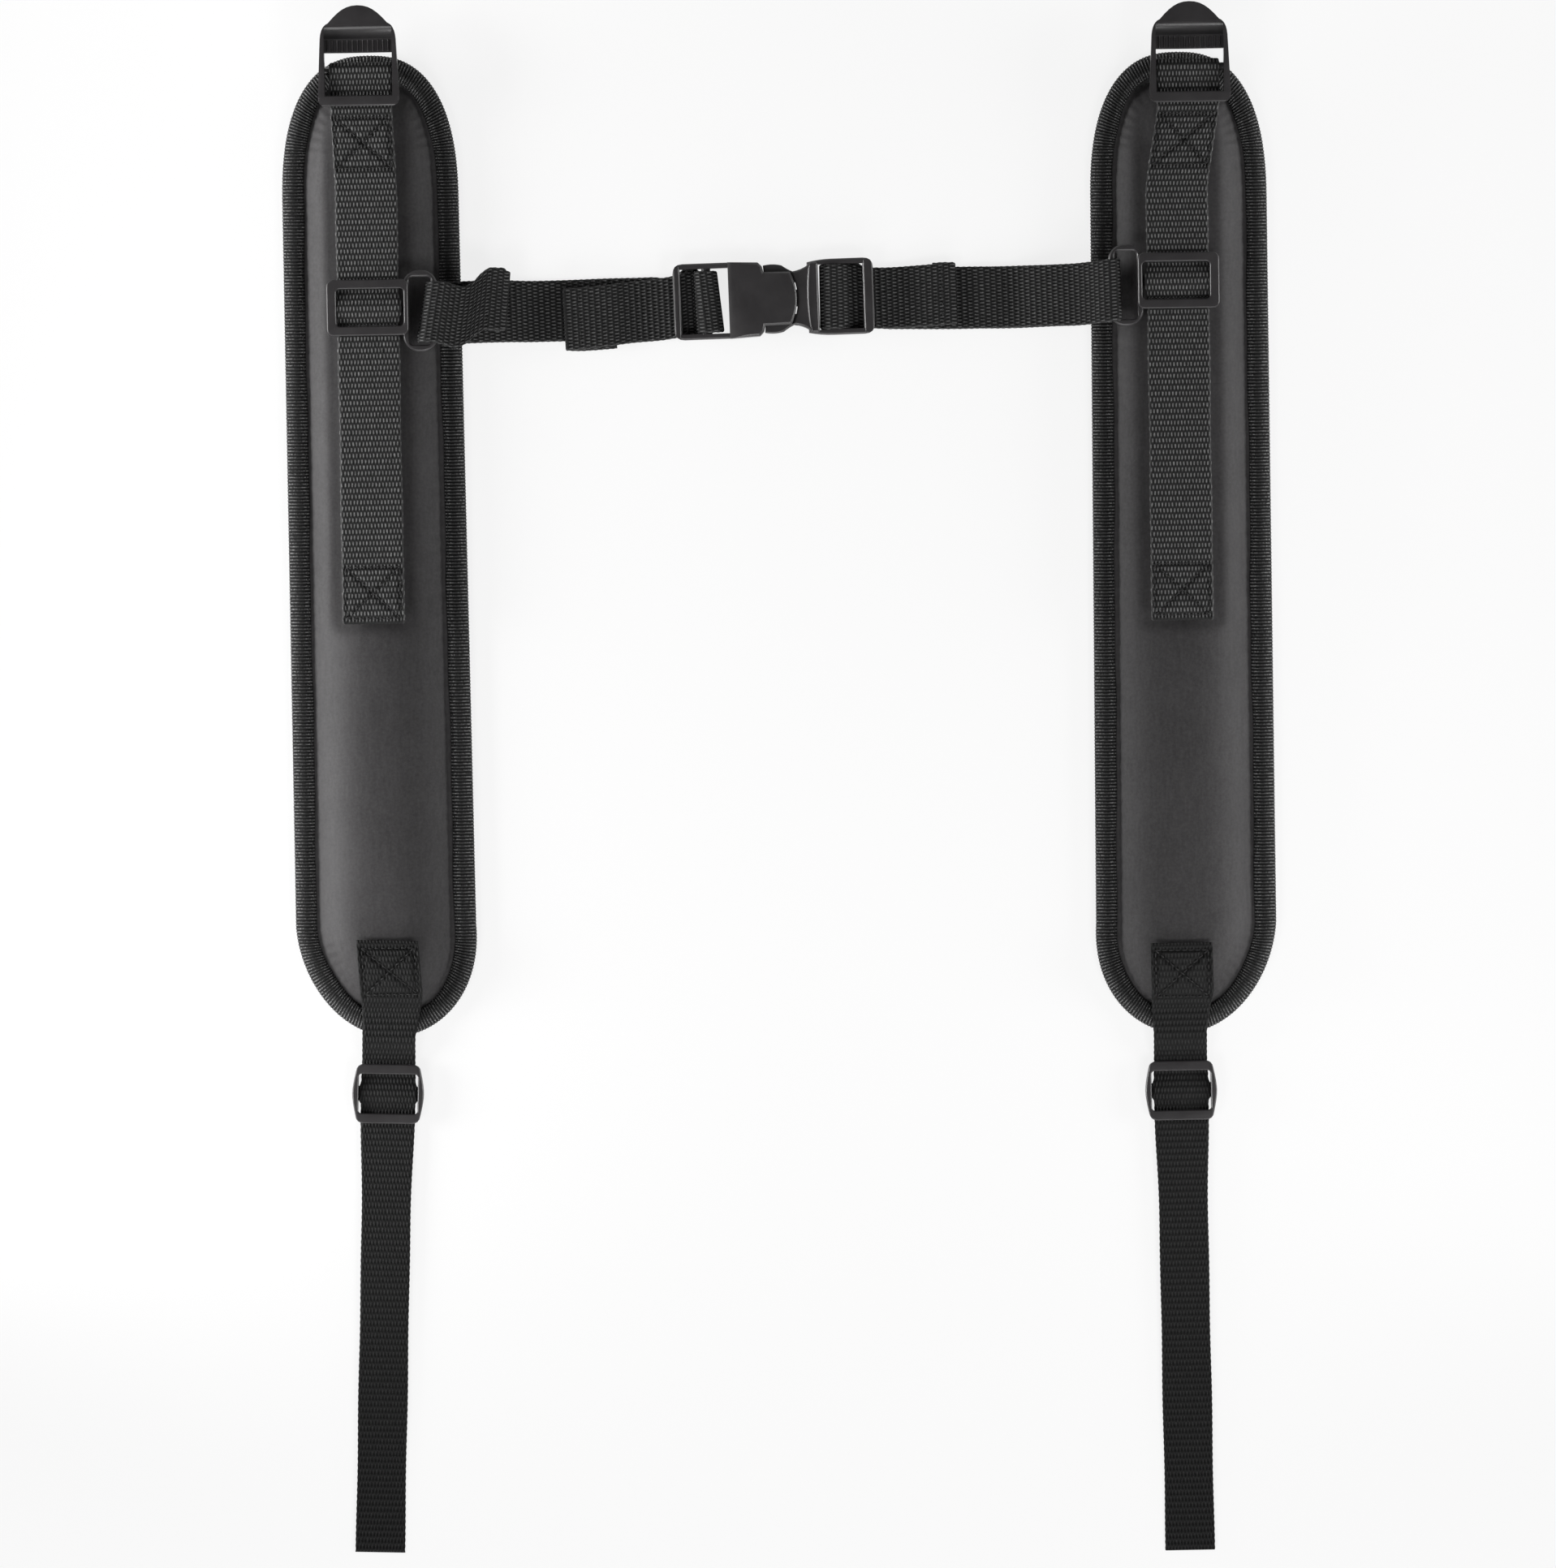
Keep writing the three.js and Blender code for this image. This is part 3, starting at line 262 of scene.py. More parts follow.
def grey(value, warm=0.0):
    """A grey by its display value, which warm moves towards red with a little blue."""
    return (srgb(value + warm), srgb(value), srgb(value + warm * 0.6), 1.0)


class Shader:
    """A material's node tree, with short ways to add to it."""

    def __init__(self, name):
        self.material = bpy.data.materials.new(name)
        self.material.use_nodes = True
        self.nodes = self.material.node_tree.nodes
        self.links = self.material.node_tree.links
        self.surface = self.nodes["Principled BSDF"]

    def node(self, kind, **settings):
        made = self.nodes.new(kind)
        for key, value in settings.items():
            setattr(made, key, value)
        return made

    def put(self, socket, value):
        if isinstance(value, bpy.types.NodeSocket):
            self.links.new(value, socket)
        else:
            socket.default_value = value

    def math(self, operation, a, b=0.0, c=0.0):
        made = self.node("ShaderNodeMath", operation=operation)
        for socket, value in zip(made.inputs, (a, b, c)):
            self.put(socket, value)
        return made.outputs[0]

    def mix(self, share, a, b):
        made = self.node("ShaderNodeMix", data_type="RGBA")
        factor, first, second = made.inputs["Factor"], made.inputs[6], made.inputs[7]
        for socket, value in ((factor, share), (first, a), (second, b)):
            self.put(socket, value)
        return made.outputs[2]

    def span(self, value, low, high, to_low=0.0, to_high=1.0):
        made = self.node("ShaderNodeMapRange")
        for socket, number in zip(made.inputs, (value, low, high, to_low, to_high)):
            self.put(socket, number)
        return made.outputs[0]

    def noise(self, vector, scale, detail=2.0, rough=0.5):
        made = self.node("ShaderNodeTexNoise")
        self.put(made.inputs["Vector"], vector)
        made.inputs["Scale"].default_value = scale
        made.inputs["Detail"].default_value = detail
        made.inputs["Roughness"].default_value = rough
        return made.outputs["Fac"]

    def stretched(self, vector, scale):
        made = self.node("ShaderNodeVectorMath", operation="MULTIPLY")
        self.put(made.inputs[0], vector)
        made.inputs[1].default_value = scale
        return made.outputs[0]

    def place(self):
        return self.node("ShaderNodeTexCoord").outputs["Object"]

    def weave(self):
        """The woven surface's own coordinates: the vector and its three parts."""
        attribute = self.node("ShaderNodeAttribute", attribute_name="weave")
        parts = self.node("ShaderNodeSeparateXYZ")
        self.links.new(attribute.outputs["Vector"], parts.inputs[0])
        return attribute.outputs["Vector"], *parts.outputs

    def bump(self, height, distance, strength=1.0):
        made = self.node("ShaderNodeBump")
        made.inputs["Strength"].default_value = strength
        made.inputs["Distance"].default_value = distance * MM
        self.put(made.inputs["Height"], height)
        self.links.new(made.outputs[0], self.surface.inputs["Normal"])

    def set(self, **values):
        for key, value in values.items():
            self.put(self.surface.inputs[key.replace("_", " ")], value)
        return self.material


def webbing_material(name, dark, light, row_pitch, dash_pitch):
    """Rows of raised dashes, each row offset by half a dash, and a painted highlight: a light band
    along the edges and cut ends.
    """
    s = Shader(name)
    vector, run, across, edge = s.weave()
    waver = s.span(s.noise(vector, 0.35, 2.0), 0.0, 1.0, -0.35, 0.35)
    rows = s.math("COSINE", s.math("MULTIPLY", run, math.pi / row_pitch))
    wavered = s.math("ADD", across, waver)
    columns = s.math("COSINE", s.math("MULTIPLY", wavered, 2 * math.pi / dash_pitch))
    cell = s.math("MULTIPLY", rows, columns)
    wear = s.noise(vector, 0.55, 3.0, 0.6)
    fibre = s.noise(vector, 3.0, 2.0)
    row = s.span(s.math("ABSOLUTE", rows), 0.3, 0.75)
    # painted highlight: the webbing's edges and cut ends are made lighter, as where they catch the
    # light
    edge_highlight = s.span(edge, 0.8, 0.3, 0.0, 0.22)
    dash = s.math("MULTIPLY", s.span(cell, 0.0, 0.6), s.span(wear, 0.32, 0.68, 0.4, 1.15))
    dash = s.math("MULTIPLY", dash, row)
    dash = s.math("MAXIMUM", dash, edge_highlight)
    dash = s.math("MULTIPLY", dash, s.span(fibre, 0.3, 0.7, 0.7, 1.1))
    hollow = s.span(cell, -0.8, 0.1)
    s.bump(s.math("ADD", cell, s.math("MULTIPLY", fibre, 0.3)), 0.16)
    middle = grey(dark + (light - dark) * 0.14)
    return s.set(
        Base_Color=s.mix(dash, s.mix(hollow, grey(dark), middle), grey(light)),
        Roughness=0.7,
        Specular_IOR_Level=0.25,
    )


def face_material():
    """Smooth dark cloth with a fine grain and faint upright slubs."""
    s = Shader("face_cloth")
    place = s.place()
    cloud = s.noise(place, 26.0, 4.0, 0.6)
    grain = s.noise(place, 2600.0, 2.0)
    fine = s.noise(place, 900.0, 3.0)
    slub = s.noise(s.stretched(place, (1.0, 0.22, 1.0)), 700.0, 3.0, 0.6)
    s.bump(s.math("ADD", grain, s.math("MULTIPLY", fine, 0.6)), 0.05, 0.6)
    tone = s.math("ADD", s.span(cloud, 0.3, 0.7, 0.0, 0.45), s.span(grain, 0.35, 0.65, 0.0, 0.2))
    tone = s.math("ADD", tone, s.span(slub, 0.3, 0.7, -0.1, 0.3))
    tone = s.math("ADD", tone, s.span(fine, 0.3, 0.7, -0.2, 0.3))
    return s.set(
        Base_Color=s.mix(tone, grey(43, 1.5), grey(60, 1.5)),
        Roughness=0.6,
        Specular_IOR_Level=0.3,
        Sheen_Weight=0.25,
        Sheen_Roughness=0.4,
    )


def tape_material():
    """Cross ribs of light flecks, made strongest on the rolled rim by a painted highlight, and
    strong beside the seam too.
    """
    s = Shader("binding_tape")
    vector, run, across, _ = s.weave()
    rows = s.math("COSINE", s.math("MULTIPLY", run, 2 * math.pi / TAPE_RIB))
    fleck = s.noise(vector, 1.5, 2.0, 0.7)
    thread = s.noise(vector, 4.0, 2.0)
    # painted highlight: the flecks are brighter on the rolled rim, as where it catches the light
    rim = s.span(across, 4.6, 7.6)
    seam = s.span(across, 3.6, 2.2)
    where = s.math("ADD", s.math("MAXIMUM", rim, seam), 0.25)
    bright = s.math("MULTIPLY", s.span(rows, -0.1, 0.8), s.span(fleck, 0.4, 0.62))
    bright = s.math("MULTIPLY", bright, where)
    bright = s.math("MULTIPLY", bright, s.span(thread, 0.3, 0.65))
    s.bump(s.math("ADD", rows, s.math("MULTIPLY", fleck, 0.5)), 0.12)
    return s.set(
        Base_Color=s.mix(bright, grey(30), grey(158)),
        Roughness=0.75,
        Specular_IOR_Level=0.2,
    )


def lining_material():
    """Dark mesh with small hollows."""
    s = Shader("lining_cloth")
    place = s.place()
    cells = s.node("ShaderNodeTexVoronoi")
    s.put(cells.inputs["Vector"], place)
    cells.inputs["Scale"].default_value = 620.0
    hollow = s.span(cells.outputs["Distance"], 0.0, 0.5)
    s.bump(hollow, 0.3)
    return s.set(
        Base_Color=s.mix(hollow, grey(24), grey(50)),
        Roughness=0.85,
        Specular_IOR_Level=0.25,
    )


def plastic_material():
    """Dark moulded plastic with light scuffs."""
    s = Shader("moulded_plastic")
    place = s.place()
    grain = s.noise(place, 1500.0, 2.0)
    scuff = s.noise(place, 90.0, 5.0, 0.7)
    s.bump(grain, 0.02, 0.5)
    return s.set(
        Base_Color=s.mix(s.span(scuff, 0.3, 0.75), grey(39, 2.0), grey(47, 2.0)),
        Roughness=s.span(scuff, 0.3, 0.7, 0.32, 0.42),
        Specular_IOR_Level=0.6,
        Coat_Weight=0.2,
        Coat_Roughness=0.2,
    )


def thread_material():
    s = Shader("sewing_thread")
    twist = s.noise(s.place(), 3000.0, 1.0)
    s.bump(twist, 0.05)
    return s.set(
        Base_Color=s.mix(twist, grey(12), grey(38)),
        Roughness=0.55,
        Specular_IOR_Level=0.4,
    )


FACE = face_material()
TAPE = tape_material()
LINING = lining_material()
WEB = webbing_material("webbing", 13, 120, ROW_PITCH, DASH_PITCH)
# painted shade: the chest strap has the pads' webbing, painted darker
CHEST_WEB_PAINTED_SHADE = webbing_material("chest_webbing", 9, 100, ROW_PITCH, DASH_PITCH)
STRAP = webbing_material("strap_webbing", 3, 40, STRAP_ROW, STRAP_DASH)
PLASTIC = plastic_material()
THREAD = thread_material()


# ---------------------------------------------------------------- meshes
def piece(name, points, faces, material, weave=None):
    """A mesh of points in millimetres, smooth shaded."""
    mesh = bpy.data.meshes.new(name)
    mesh.from_pydata((np.asarray(points, float) * MM).tolist(), [], faces)
    if weave is not None:
        attribute = mesh.attributes.new("weave", "FLOAT_VECTOR", "POINT")
        attribute.data.foreach_set("vector", np.asarray(weave, np.float32).ravel())
    mesh.materials.append(material)
    mesh.shade_smooth()
    mesh.update()
    made = bpy.data.objects.new(name, mesh)
    bpy.context.scene.collection.objects.link(made)
    bm = bmesh.new()
    bm.from_mesh(mesh)
    bmesh.ops.recalc_face_normals(bm, faces=bm.faces)
    bm.to_mesh(mesh)
    bm.free()
    return made


def ring_faces(rings, count, closed_run=False, caps=True):
    """Quads between rings of count points each."""
    faces = []
    last = rings if closed_run else rings - 1
    for r in range(last):
        a, b = r * count, ((r + 1) % rings) * count
        for i in range(count):
            j = (i + 1) % count
            faces.append((a + i, a + j, b + j, b + i))
    if caps and not closed_run:
        faces.append(tuple(range(count - 1, -1, -1)))
        faces.append(tuple(range((rings - 1) * count, rings * count)))
    return faces


def run_along(points):
    """The distance along a line of points, at each of them."""
    return np.r_[0, np.cumsum(np.linalg.norm(np.diff(points, axis=0), axis=1))]


def resampled(rows, step):
    """Rows of numbers, the first three a point, along a smooth curve at an even step."""
    rows = np.array(rows, float)
    chord = run_along(rows[:, :3])
    slopes = np.gradient(rows, chord, axis=0)
    count = max(2, int(round(chord[-1] / step)) + 1)
    at = np.linspace(0, chord[-1], count)
    i = np.clip(np.searchsorted(chord, at, side="right") - 1, 0, len(chord) - 2)
    gap = (chord[i + 1] - chord[i])[:, None]
    t = (at - chord[i])[:, None] / gap
    from_start = (2 * t**3 - 3 * t**2 + 1) * rows[i] + (t**3 - 2 * t**2 + t) * (slopes[i] * gap)
    from_end = (3 * t**2 - 2 * t**3) * rows[i + 1] + (t**3 - t**2) * (slopes[i + 1] * gap)
    return from_start + from_end


def band_section(across=33, edge=3):
    """Points round a flat band: across share -1..1, edge share, and height share -1..1."""
    flat = np.linspace(-1, 1, across)
    turn = np.linspace(math.pi / 2, -math.pi / 2, edge + 2)[1:-1]
    top = [(a, 0.0, 1.0) for a in flat]
    right = [(1.0, math.cos(t), math.sin(t)) for t in turn]
    bottom = [(a, 0.0, -1.0) for a in flat[::-1]]
    left = [(-1.0, -math.cos(t), math.sin(t)) for t in turn[::-1]]
    return np.array(top + right + bottom + left)


def unit(vectors):
    return vectors / np.linalg.norm(vectors, axis=1)[:, None]


def ribbon(name, place, stations, material, rib=ROW_PITCH, rib_height=ROW_HEIGHT, dents=()):
    """Webbing along stations of u, v, z, half width, thickness, skew (how far its edge leads) and
    twist. Dents are lines of stitches, pairs of u, v points, that draw its upper side in."""
    rows = resampled(stations, STEP)
    centre = place.world(rows[:, :3])
    tangent = unit(np.gradient(centre, axis=0))
    flat = np.array([place.x[0], place.x[1], 0.0])
    lead = np.array([place.y[0], place.y[1], 0.0])
    up = np.array([0.0, 0.0, 1.0])
    across = unit(flat + rows[:, 5:6] * lead + rows[:, 6:7] * up)
    normal = unit(np.cross(across, tangent))
    run = run_along(centre)
    section = band_section()
    row_wave = np.cos(2 * math.pi * run / rib)
    half = rows[:, 3] + EDGE_WANDER * np.sin(run / 9.0) + EDGE_NOTCH * row_wave
    thick = rows[:, 4] / 2
    ribbed = thick - rib_height * row_wave / 2
    points = []
    weave = []
    for i in range(len(rows)):
        inner = half[i] - thick[i]
        sideways = section[:, 0] * inner + section[:, 1] * thick[i]
        height = section[:, 2] * ribbed[i]
        for a, b in dents:
            gap = line_distance(rows[i, 0] + sideways, rows[i, 1], a, b)
            height -= DENT_DEPTH * np.exp(-((gap / DENT_REACH) ** 2)) * (height > 0)
        points.append(centre[i] + sideways[:, None] * across[i] + height[:, None] * normal[i])
        from_ends = min(run[i], run[-1] - run[i]) + END_MARGIN
        free = np.minimum(half[i] - np.abs(sideways), from_ends)
        weave.append(np.stack([np.full(len(section), run[i]), sideways, free], axis=1))
    points = np.concatenate(points)
    points[:, 2] = np.maximum(points[:, 2], FLOOR_GAP)
    faces = ring_faces(len(rows), len(section))
    return piece(name, points, faces, material, np.concatenate(weave))


def line_distance(u, v, a, b):
    """Distance in plan from points u, v to the stretch from a to b."""
    a, b = np.array(a), np.array(b)
    along = b - a
    t = np.clip(((u - a[0]) * along[0] + (v - a[1]) * along[1]) / (along @ along), 0, 1)
    return np.hypot(u - a[0] - t * along[0], v - a[1] - t * along[1])


def station(u, v, z, half=WEB_HALF, thick=WEB_THICK, skew=0.0, twist=0.0):
    return (u, v, z, half, thick, skew, twist)


def arc(v, z, radius_v, radius_z, start, end, steps):
    """Points v, z on an ellipse, by angle in degrees."""
    angles = np.radians(np.linspace(start, end, steps + 1))
    return [(v + radius_v * math.cos(a), z + radius_z * math.sin(a)) for a in angles]


def stitched(name, runs, body, radius=0.26, pitch=2.6, share=0.72):
    """Short thread stitches along lines of points, in millimetres."""
    sides, rings = 6, 5
    points = []
    faces = []
    for line in runs:
        line = np.array(line, float)
        chord = run_along(line)
        count = max(1, int(chord[-1] // pitch))
        for i in range(count):
            t = np.linspace(i * chord[-1] / count, (i + share) * chord[-1] / count, rings)
            path = np.stack([np.interp(t, chord, line[:, k]) for k in range(3)], axis=1)
            along = path[-1] - path[0]
            along /= np.linalg.norm(along)
            side = np.cross(along, (0, 0, 1.0))
            side /= np.linalg.norm(side)
            up = np.cross(side, along)
            base = len(points) * sides * rings
            swell = np.sin(np.linspace(0.12, math.pi - 0.12, rings)) ** 0.5
            sink = (1 - np.sin(np.linspace(0, math.pi, rings))) * radius
            block = []
            for r in range(rings):
                for k in range(sides):
                    turn = 2 * math.pi * k / sides
                    offset = side * math.cos(turn) + up * math.sin(turn)
                    block.append(path[r] + offset * radius * swell[r] - up * sink[r])
            points.append(block)
            faces += [tuple(base + i for i in face) for face in ring_faces(rings, sides)]
    made = piece(name, np.array(points).reshape(-1, 3), faces, THREAD)
    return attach(made, body)


# ---------------------------------------------------------------- pads
def toe(v, sign):
    """How far the pad's middle has moved sideways at v."""
    t = np.clip((TOE_LENGTH - (v + PAD_LENGTH / 2)) / TOE_LENGTH, 0, 1)
    return -sign * TOE_IN * t * t * (3 - 2 * t)


def pad_outline(sign, count):
    """Evenly spaced rim points from the shoulder tip round the pad, the way inwards at each, the
    ridge point that it looks towards, the distance round and the whole length of the rim."""
    half = PAD_LENGTH / 2
    angle = np.linspace(0, math.pi / 2, 240)
    top_w = np.sin(angle) ** (2 / TOP_POWER)
    top_h = np.cos(angle) ** (2 / TOP_POWER)
    low_w = np.cos(angle) ** (2 / BOTTOM_POWER)
    low_h = np.sin(angle) ** (2 / BOTTOM_POWER)
    w = np.r_[top_w, low_w]
    v = np.r_[half - TOP_END * (1 - top_h), BOTTOM_END * (1 - low_h) - half]
    wide = HALF_BOTTOM + (HALF_TOP - HALF_BOTTOM) * (v + half) / PAD_LENGTH
    down = np.stack([w * wide, v], axis=1)
    up = down[::-1][1:] * (-1, 1)
    loop = np.concatenate([down, up])
    loop[:, 0] += toe(loop[:, 1], sign)
    chord = run_along(loop)
    at = np.linspace(0, chord[-1], count, endpoint=False)
    edge = np.stack([np.interp(at, chord, loop[:, k]) for k in (0, 1)], axis=1)
    ridge_v = np.clip(edge[:, 1], SPINE_INSET - half, half - SPINE_INSET)
    ridge = np.stack([toe(ridge_v, sign), ridge_v], axis=1)
    return edge, unit(ridge - edge), ridge, at, chord[-1]


def crown(inset):
    """The pad's height by the distance from its rim."""
    t = np.clip((inset - SEAM_INSET) / (HALF_TOP - SEAM_INSET), 0, 1)
    return SEAM_HEIGHT + (CROWN_HEIGHT - SEAM_HEIGHT) * (1 - (1 - t) ** CROWN_POWER)


def ring_of(outline, inset, z):
    """A level ring at a distance from the rim, or along the ridge where that is None."""
    edge, inward, ridge = outline[:3]
    plan = ridge if inset is None else edge + inward * inset
    return np.concatenate([plan, np.full((len(plan), 1), z)], axis=1)


def binding(name, side):
    """Ribbed woven tape folded round the rim, puffed between rim and seam."""
    ribs = int(round(pad_outline(side["sign"], 400)[4] / TAPE_RIB))
    count = ribs * TAPE_STEPS_PER_RIB
    edge, inward, _, at, _ = pad_outline(side["sign"], count)
    profile = TAPE_OUTSIDE + TAPE_INSIDE
    pull = STITCH_PULL * np.cos(2 * math.pi * at / STITCH_PITCH)
    rib = TAPE_RIB_HEIGHT * np.cos(2 * math.pi * at / TAPE_RIB)
    drift = 0.22 * np.sin(at / 17.0) + 0.14 * np.sin(at / 6.1 + 2.0)
    rings = []
    weave = []
    across = 0.0
    for k, (inset, z) in enumerate(profile):
        inset_here = np.full(count, inset)
        height = np.full(count, z)
        if k < len(TAPE_OUTSIDE):
            lift = np.clip((z - TAPE_MIDDLE_HEIGHT) / TAPE_MIDDLE_HEIGHT, -1, 1)
            inset_here -= rib * (1 - abs(lift))
            height += rib * max(lift, 0)
        if k < 3:
            inset_here += drift
        if k in (1, 2):
            height -= pull / 2
        plan = edge + inward * inset_here[:, None]
        rings.append(np.concatenate([plan, height[:, None]], axis=1))
        if k:
            across += math.hypot(inset - profile[k - 1][0], z - profile[k - 1][1])
        weave.append(np.stack([at, np.full(count, across), np.zeros(count)], axis=1))
    points = np.stack(rings, axis=1).reshape(-1, 3)
    faces = ring_faces(count, len(profile), closed_run=True)
    tape = piece(
        f"{name}_binding_tape", pads[name].world(points), faces, TAPE,
        np.stack(weave, axis=1).reshape(-1, 3),
    )
    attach(tape, f"{name}_pad")
    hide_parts(f"{name}_edge_binding")

    seam_plan = edge + inward * TAPE_SEAM_INSET
    seam = np.concatenate([seam_plan, np.full((count, 1), TAPE_SEAM_HEIGHT)], axis=1)
    seam = pads[name].world(np.concatenate([seam, seam[:1]]))
    stitched(f"{name}_binding_seam", [seam], f"{name}_pad", 0.2, STITCH_PITCH, 0.7)


def tube_faces(rings, count):
    """Quads between closed rings, with no end faces."""
    return ring_faces(rings, count, caps=False)


def merged(obj, distance=0.05):
    """Joins points that lie on each other, such as a ridge that a ring runs along twice."""
    bm = bmesh.new()
    bm.from_mesh(obj.data)
    bmesh.ops.remove_doubles(bm, verts=bm.verts, dist=distance * MM)
    bmesh.ops.recalc_face_normals(bm, faces=bm.faces)
    bm.to_mesh(obj.data)
    bm.free()


def swelling(name, side):
    """How far pressure inside the cloth moves each point of a coarse copy, as points and moves."""
    count = 200
    outline = pad_outline(side["sign"], count)
    deep = -5.0
    insets = (8.5, 11.0, 14.0, 18.0, 23.0, 28.0)
    rings = [ring_of(outline, None, deep), ring_of(outline, 9.0, deep)]
    rings += [ring_of(outline, inset, float(crown(inset)) - FORM_DROP) for inset in insets]
    rings.append(ring_of(outline, None, CROWN_HEIGHT - FORM_DROP))
    points = pads[name].world(np.concatenate(rings))
    faces = tube_faces(len(rings), count)
    form = piece(f"{name}_swelling_form", points, faces, FACE)
    merged(form)
    remesh = form.modifiers.new("voxels", "REMESH")
    remesh.mode = "VOXEL"
    remesh.voxel_size = FORM_VOXEL * MM
    form.data = evaluated_mesh(form)
    form.modifiers.clear()
    before = coordinates(form.data)
    held = form.vertex_groups.new(name="held")
    for i, point in enumerate(before):
        if point[2] < HELD_BELOW:
            held.add([i], 1.0, "REPLACE")
    cloth = form.modifiers.new("cloth", "CLOTH")
    cloth.settings.use_pressure = True
    cloth.settings.uniform_pressure_force = CLOTH_PRESSURE
    cloth.settings.vertex_group_mass = "held"
    cloth.settings.tension_stiffness = CLOTH_TENSION
    cloth.settings.effector_weights.gravity = 0
    cloth.collision_settings.use_collision = False
    scene = bpy.context.scene
    for number in range(1, CLOTH_FRAMES + 1):
        scene.frame_set(number)
    after = coordinates(form.evaluated_get(bpy.context.evaluated_depsgraph_get()).data)
    scene.frame_set(1)
    bpy.data.objects.remove(form)
    moves = after - before
    length = np.linalg.norm(moves, axis=1)
    moves *= (np.minimum(length, SWELL_CAP) / np.maximum(length, 1e-9))[:, None]
    return before, moves


def evaluated_mesh(obj):
    """The object's mesh with its modifiers applied."""
    bpy.context.view_layer.update()
    return bpy.data.meshes.new_from_object(obj.evaluated_get(bpy.context.evaluated_depsgraph_get()))


def coordinates(mesh):
    """The mesh's points in millimetres."""
    flat = np.zeros(len(mesh.vertices) * 3)
    mesh.vertices.foreach_get("co", flat)
    return flat.reshape(-1, 3) / MM


def cushion(name, side):
    """The foam pad in its face cloth: a crowned closed form that pressure swells."""
    count = 640
    outline = pad_outline(side["sign"], count)
    insets = [6.8, 7.6, 8.3, *np.arange(9.2, 32.0, 1.4)]
    rings = [ring_of(outline, None, 1.4), ring_of(outline, 20.0, 1.4), ring_of(outline, 6.8, 1.4)]
    rings += [ring_of(outline, inset, float(crown(inset)) - CLOTH_DROP) for inset in insets]
    rings.append(ring_of(outline, None, CROWN_HEIGHT - CLOTH_DROP))
    points = pads[name].world(np.concatenate(rings))
    back = 3 * count  # the first three rings are the cushion's back
    before, moves = swelling(name, side)
    tree = KDTree(len(before))
    for i, point in enumerate(before):
        tree.insert(point, i)
    tree.balance()
    for k in range(back, len(points)):
        near = tree.find_n(points[k], 8)
        weights = np.array([1 / (gap + 1.5) ** 2 for _, _, gap in near])
        nearby = moves[[i for _, i, _ in near]]
        points[k] += (nearby * weights[:, None]).sum(axis=0) / weights.sum()
    local = pads[name].local(points)
    top = np.arange(len(points)) >= back
    beside = np.exp(-((np.abs(local[:, 0] - WEB_SHIFT) / VALLEY_HALF) ** 8))
    along_web = 1 / (1 + np.exp(-(local[:, 1] - WEB_END_V + 1.5) / 1.2))
    points[:, 2] -= VALLEY_DEPTH * beside * along_web * top
    along = np.tile(outline[3], len(rings))
    depth = np.repeat([0, 0, 0, *insets, 33.0], count)
    pucker = 0.16 * np.sin(math.pi * along / STITCH_PITCH) + 0.1 * np.sin(along / 3.7)
    points[:, 2] += pucker * np.exp(-(((depth - PUCKER_INSET) / PUCKER_REACH) ** 2)) * top
    points[:, 2] = np.minimum(points[:, 2], CROWN_HEIGHT)
    faces = tube_faces(len(rings), count)
    pad = piece(f"{name}_pad_cushion", points, faces, FACE)
    merged(pad)
    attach(pad, f"{name}_pad")
    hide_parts(f"{name}_face_fabric", f"{name}_foam_core")


def lining(name, side):
    """The flat cover on the pad's back, with its rim under the binding tape."""
    count = 300
    outline = pad_outline(side["sign"], count)
    profile = [
        (None, 1.2), (11.0, 1.2), (9.0, 2.2), (1.4, 2.2), (1.4, 1.25),
        (8.6, 1.2), (9.4, 0.9), (10.6, 0.25), (12.5, 0.0), (None, 0.0),
    ]
    points = np.concatenate([ring_of(outline, inset, z) for inset, z in profile])
    faces = tube_faces(len(profile), count)
    sheet = piece(f"{name}_back_lining", pads[name].world(points), faces, LINING)
    merged(sheet)
    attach(sheet, f"{name}_pad")
    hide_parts(f"{name}_lining")


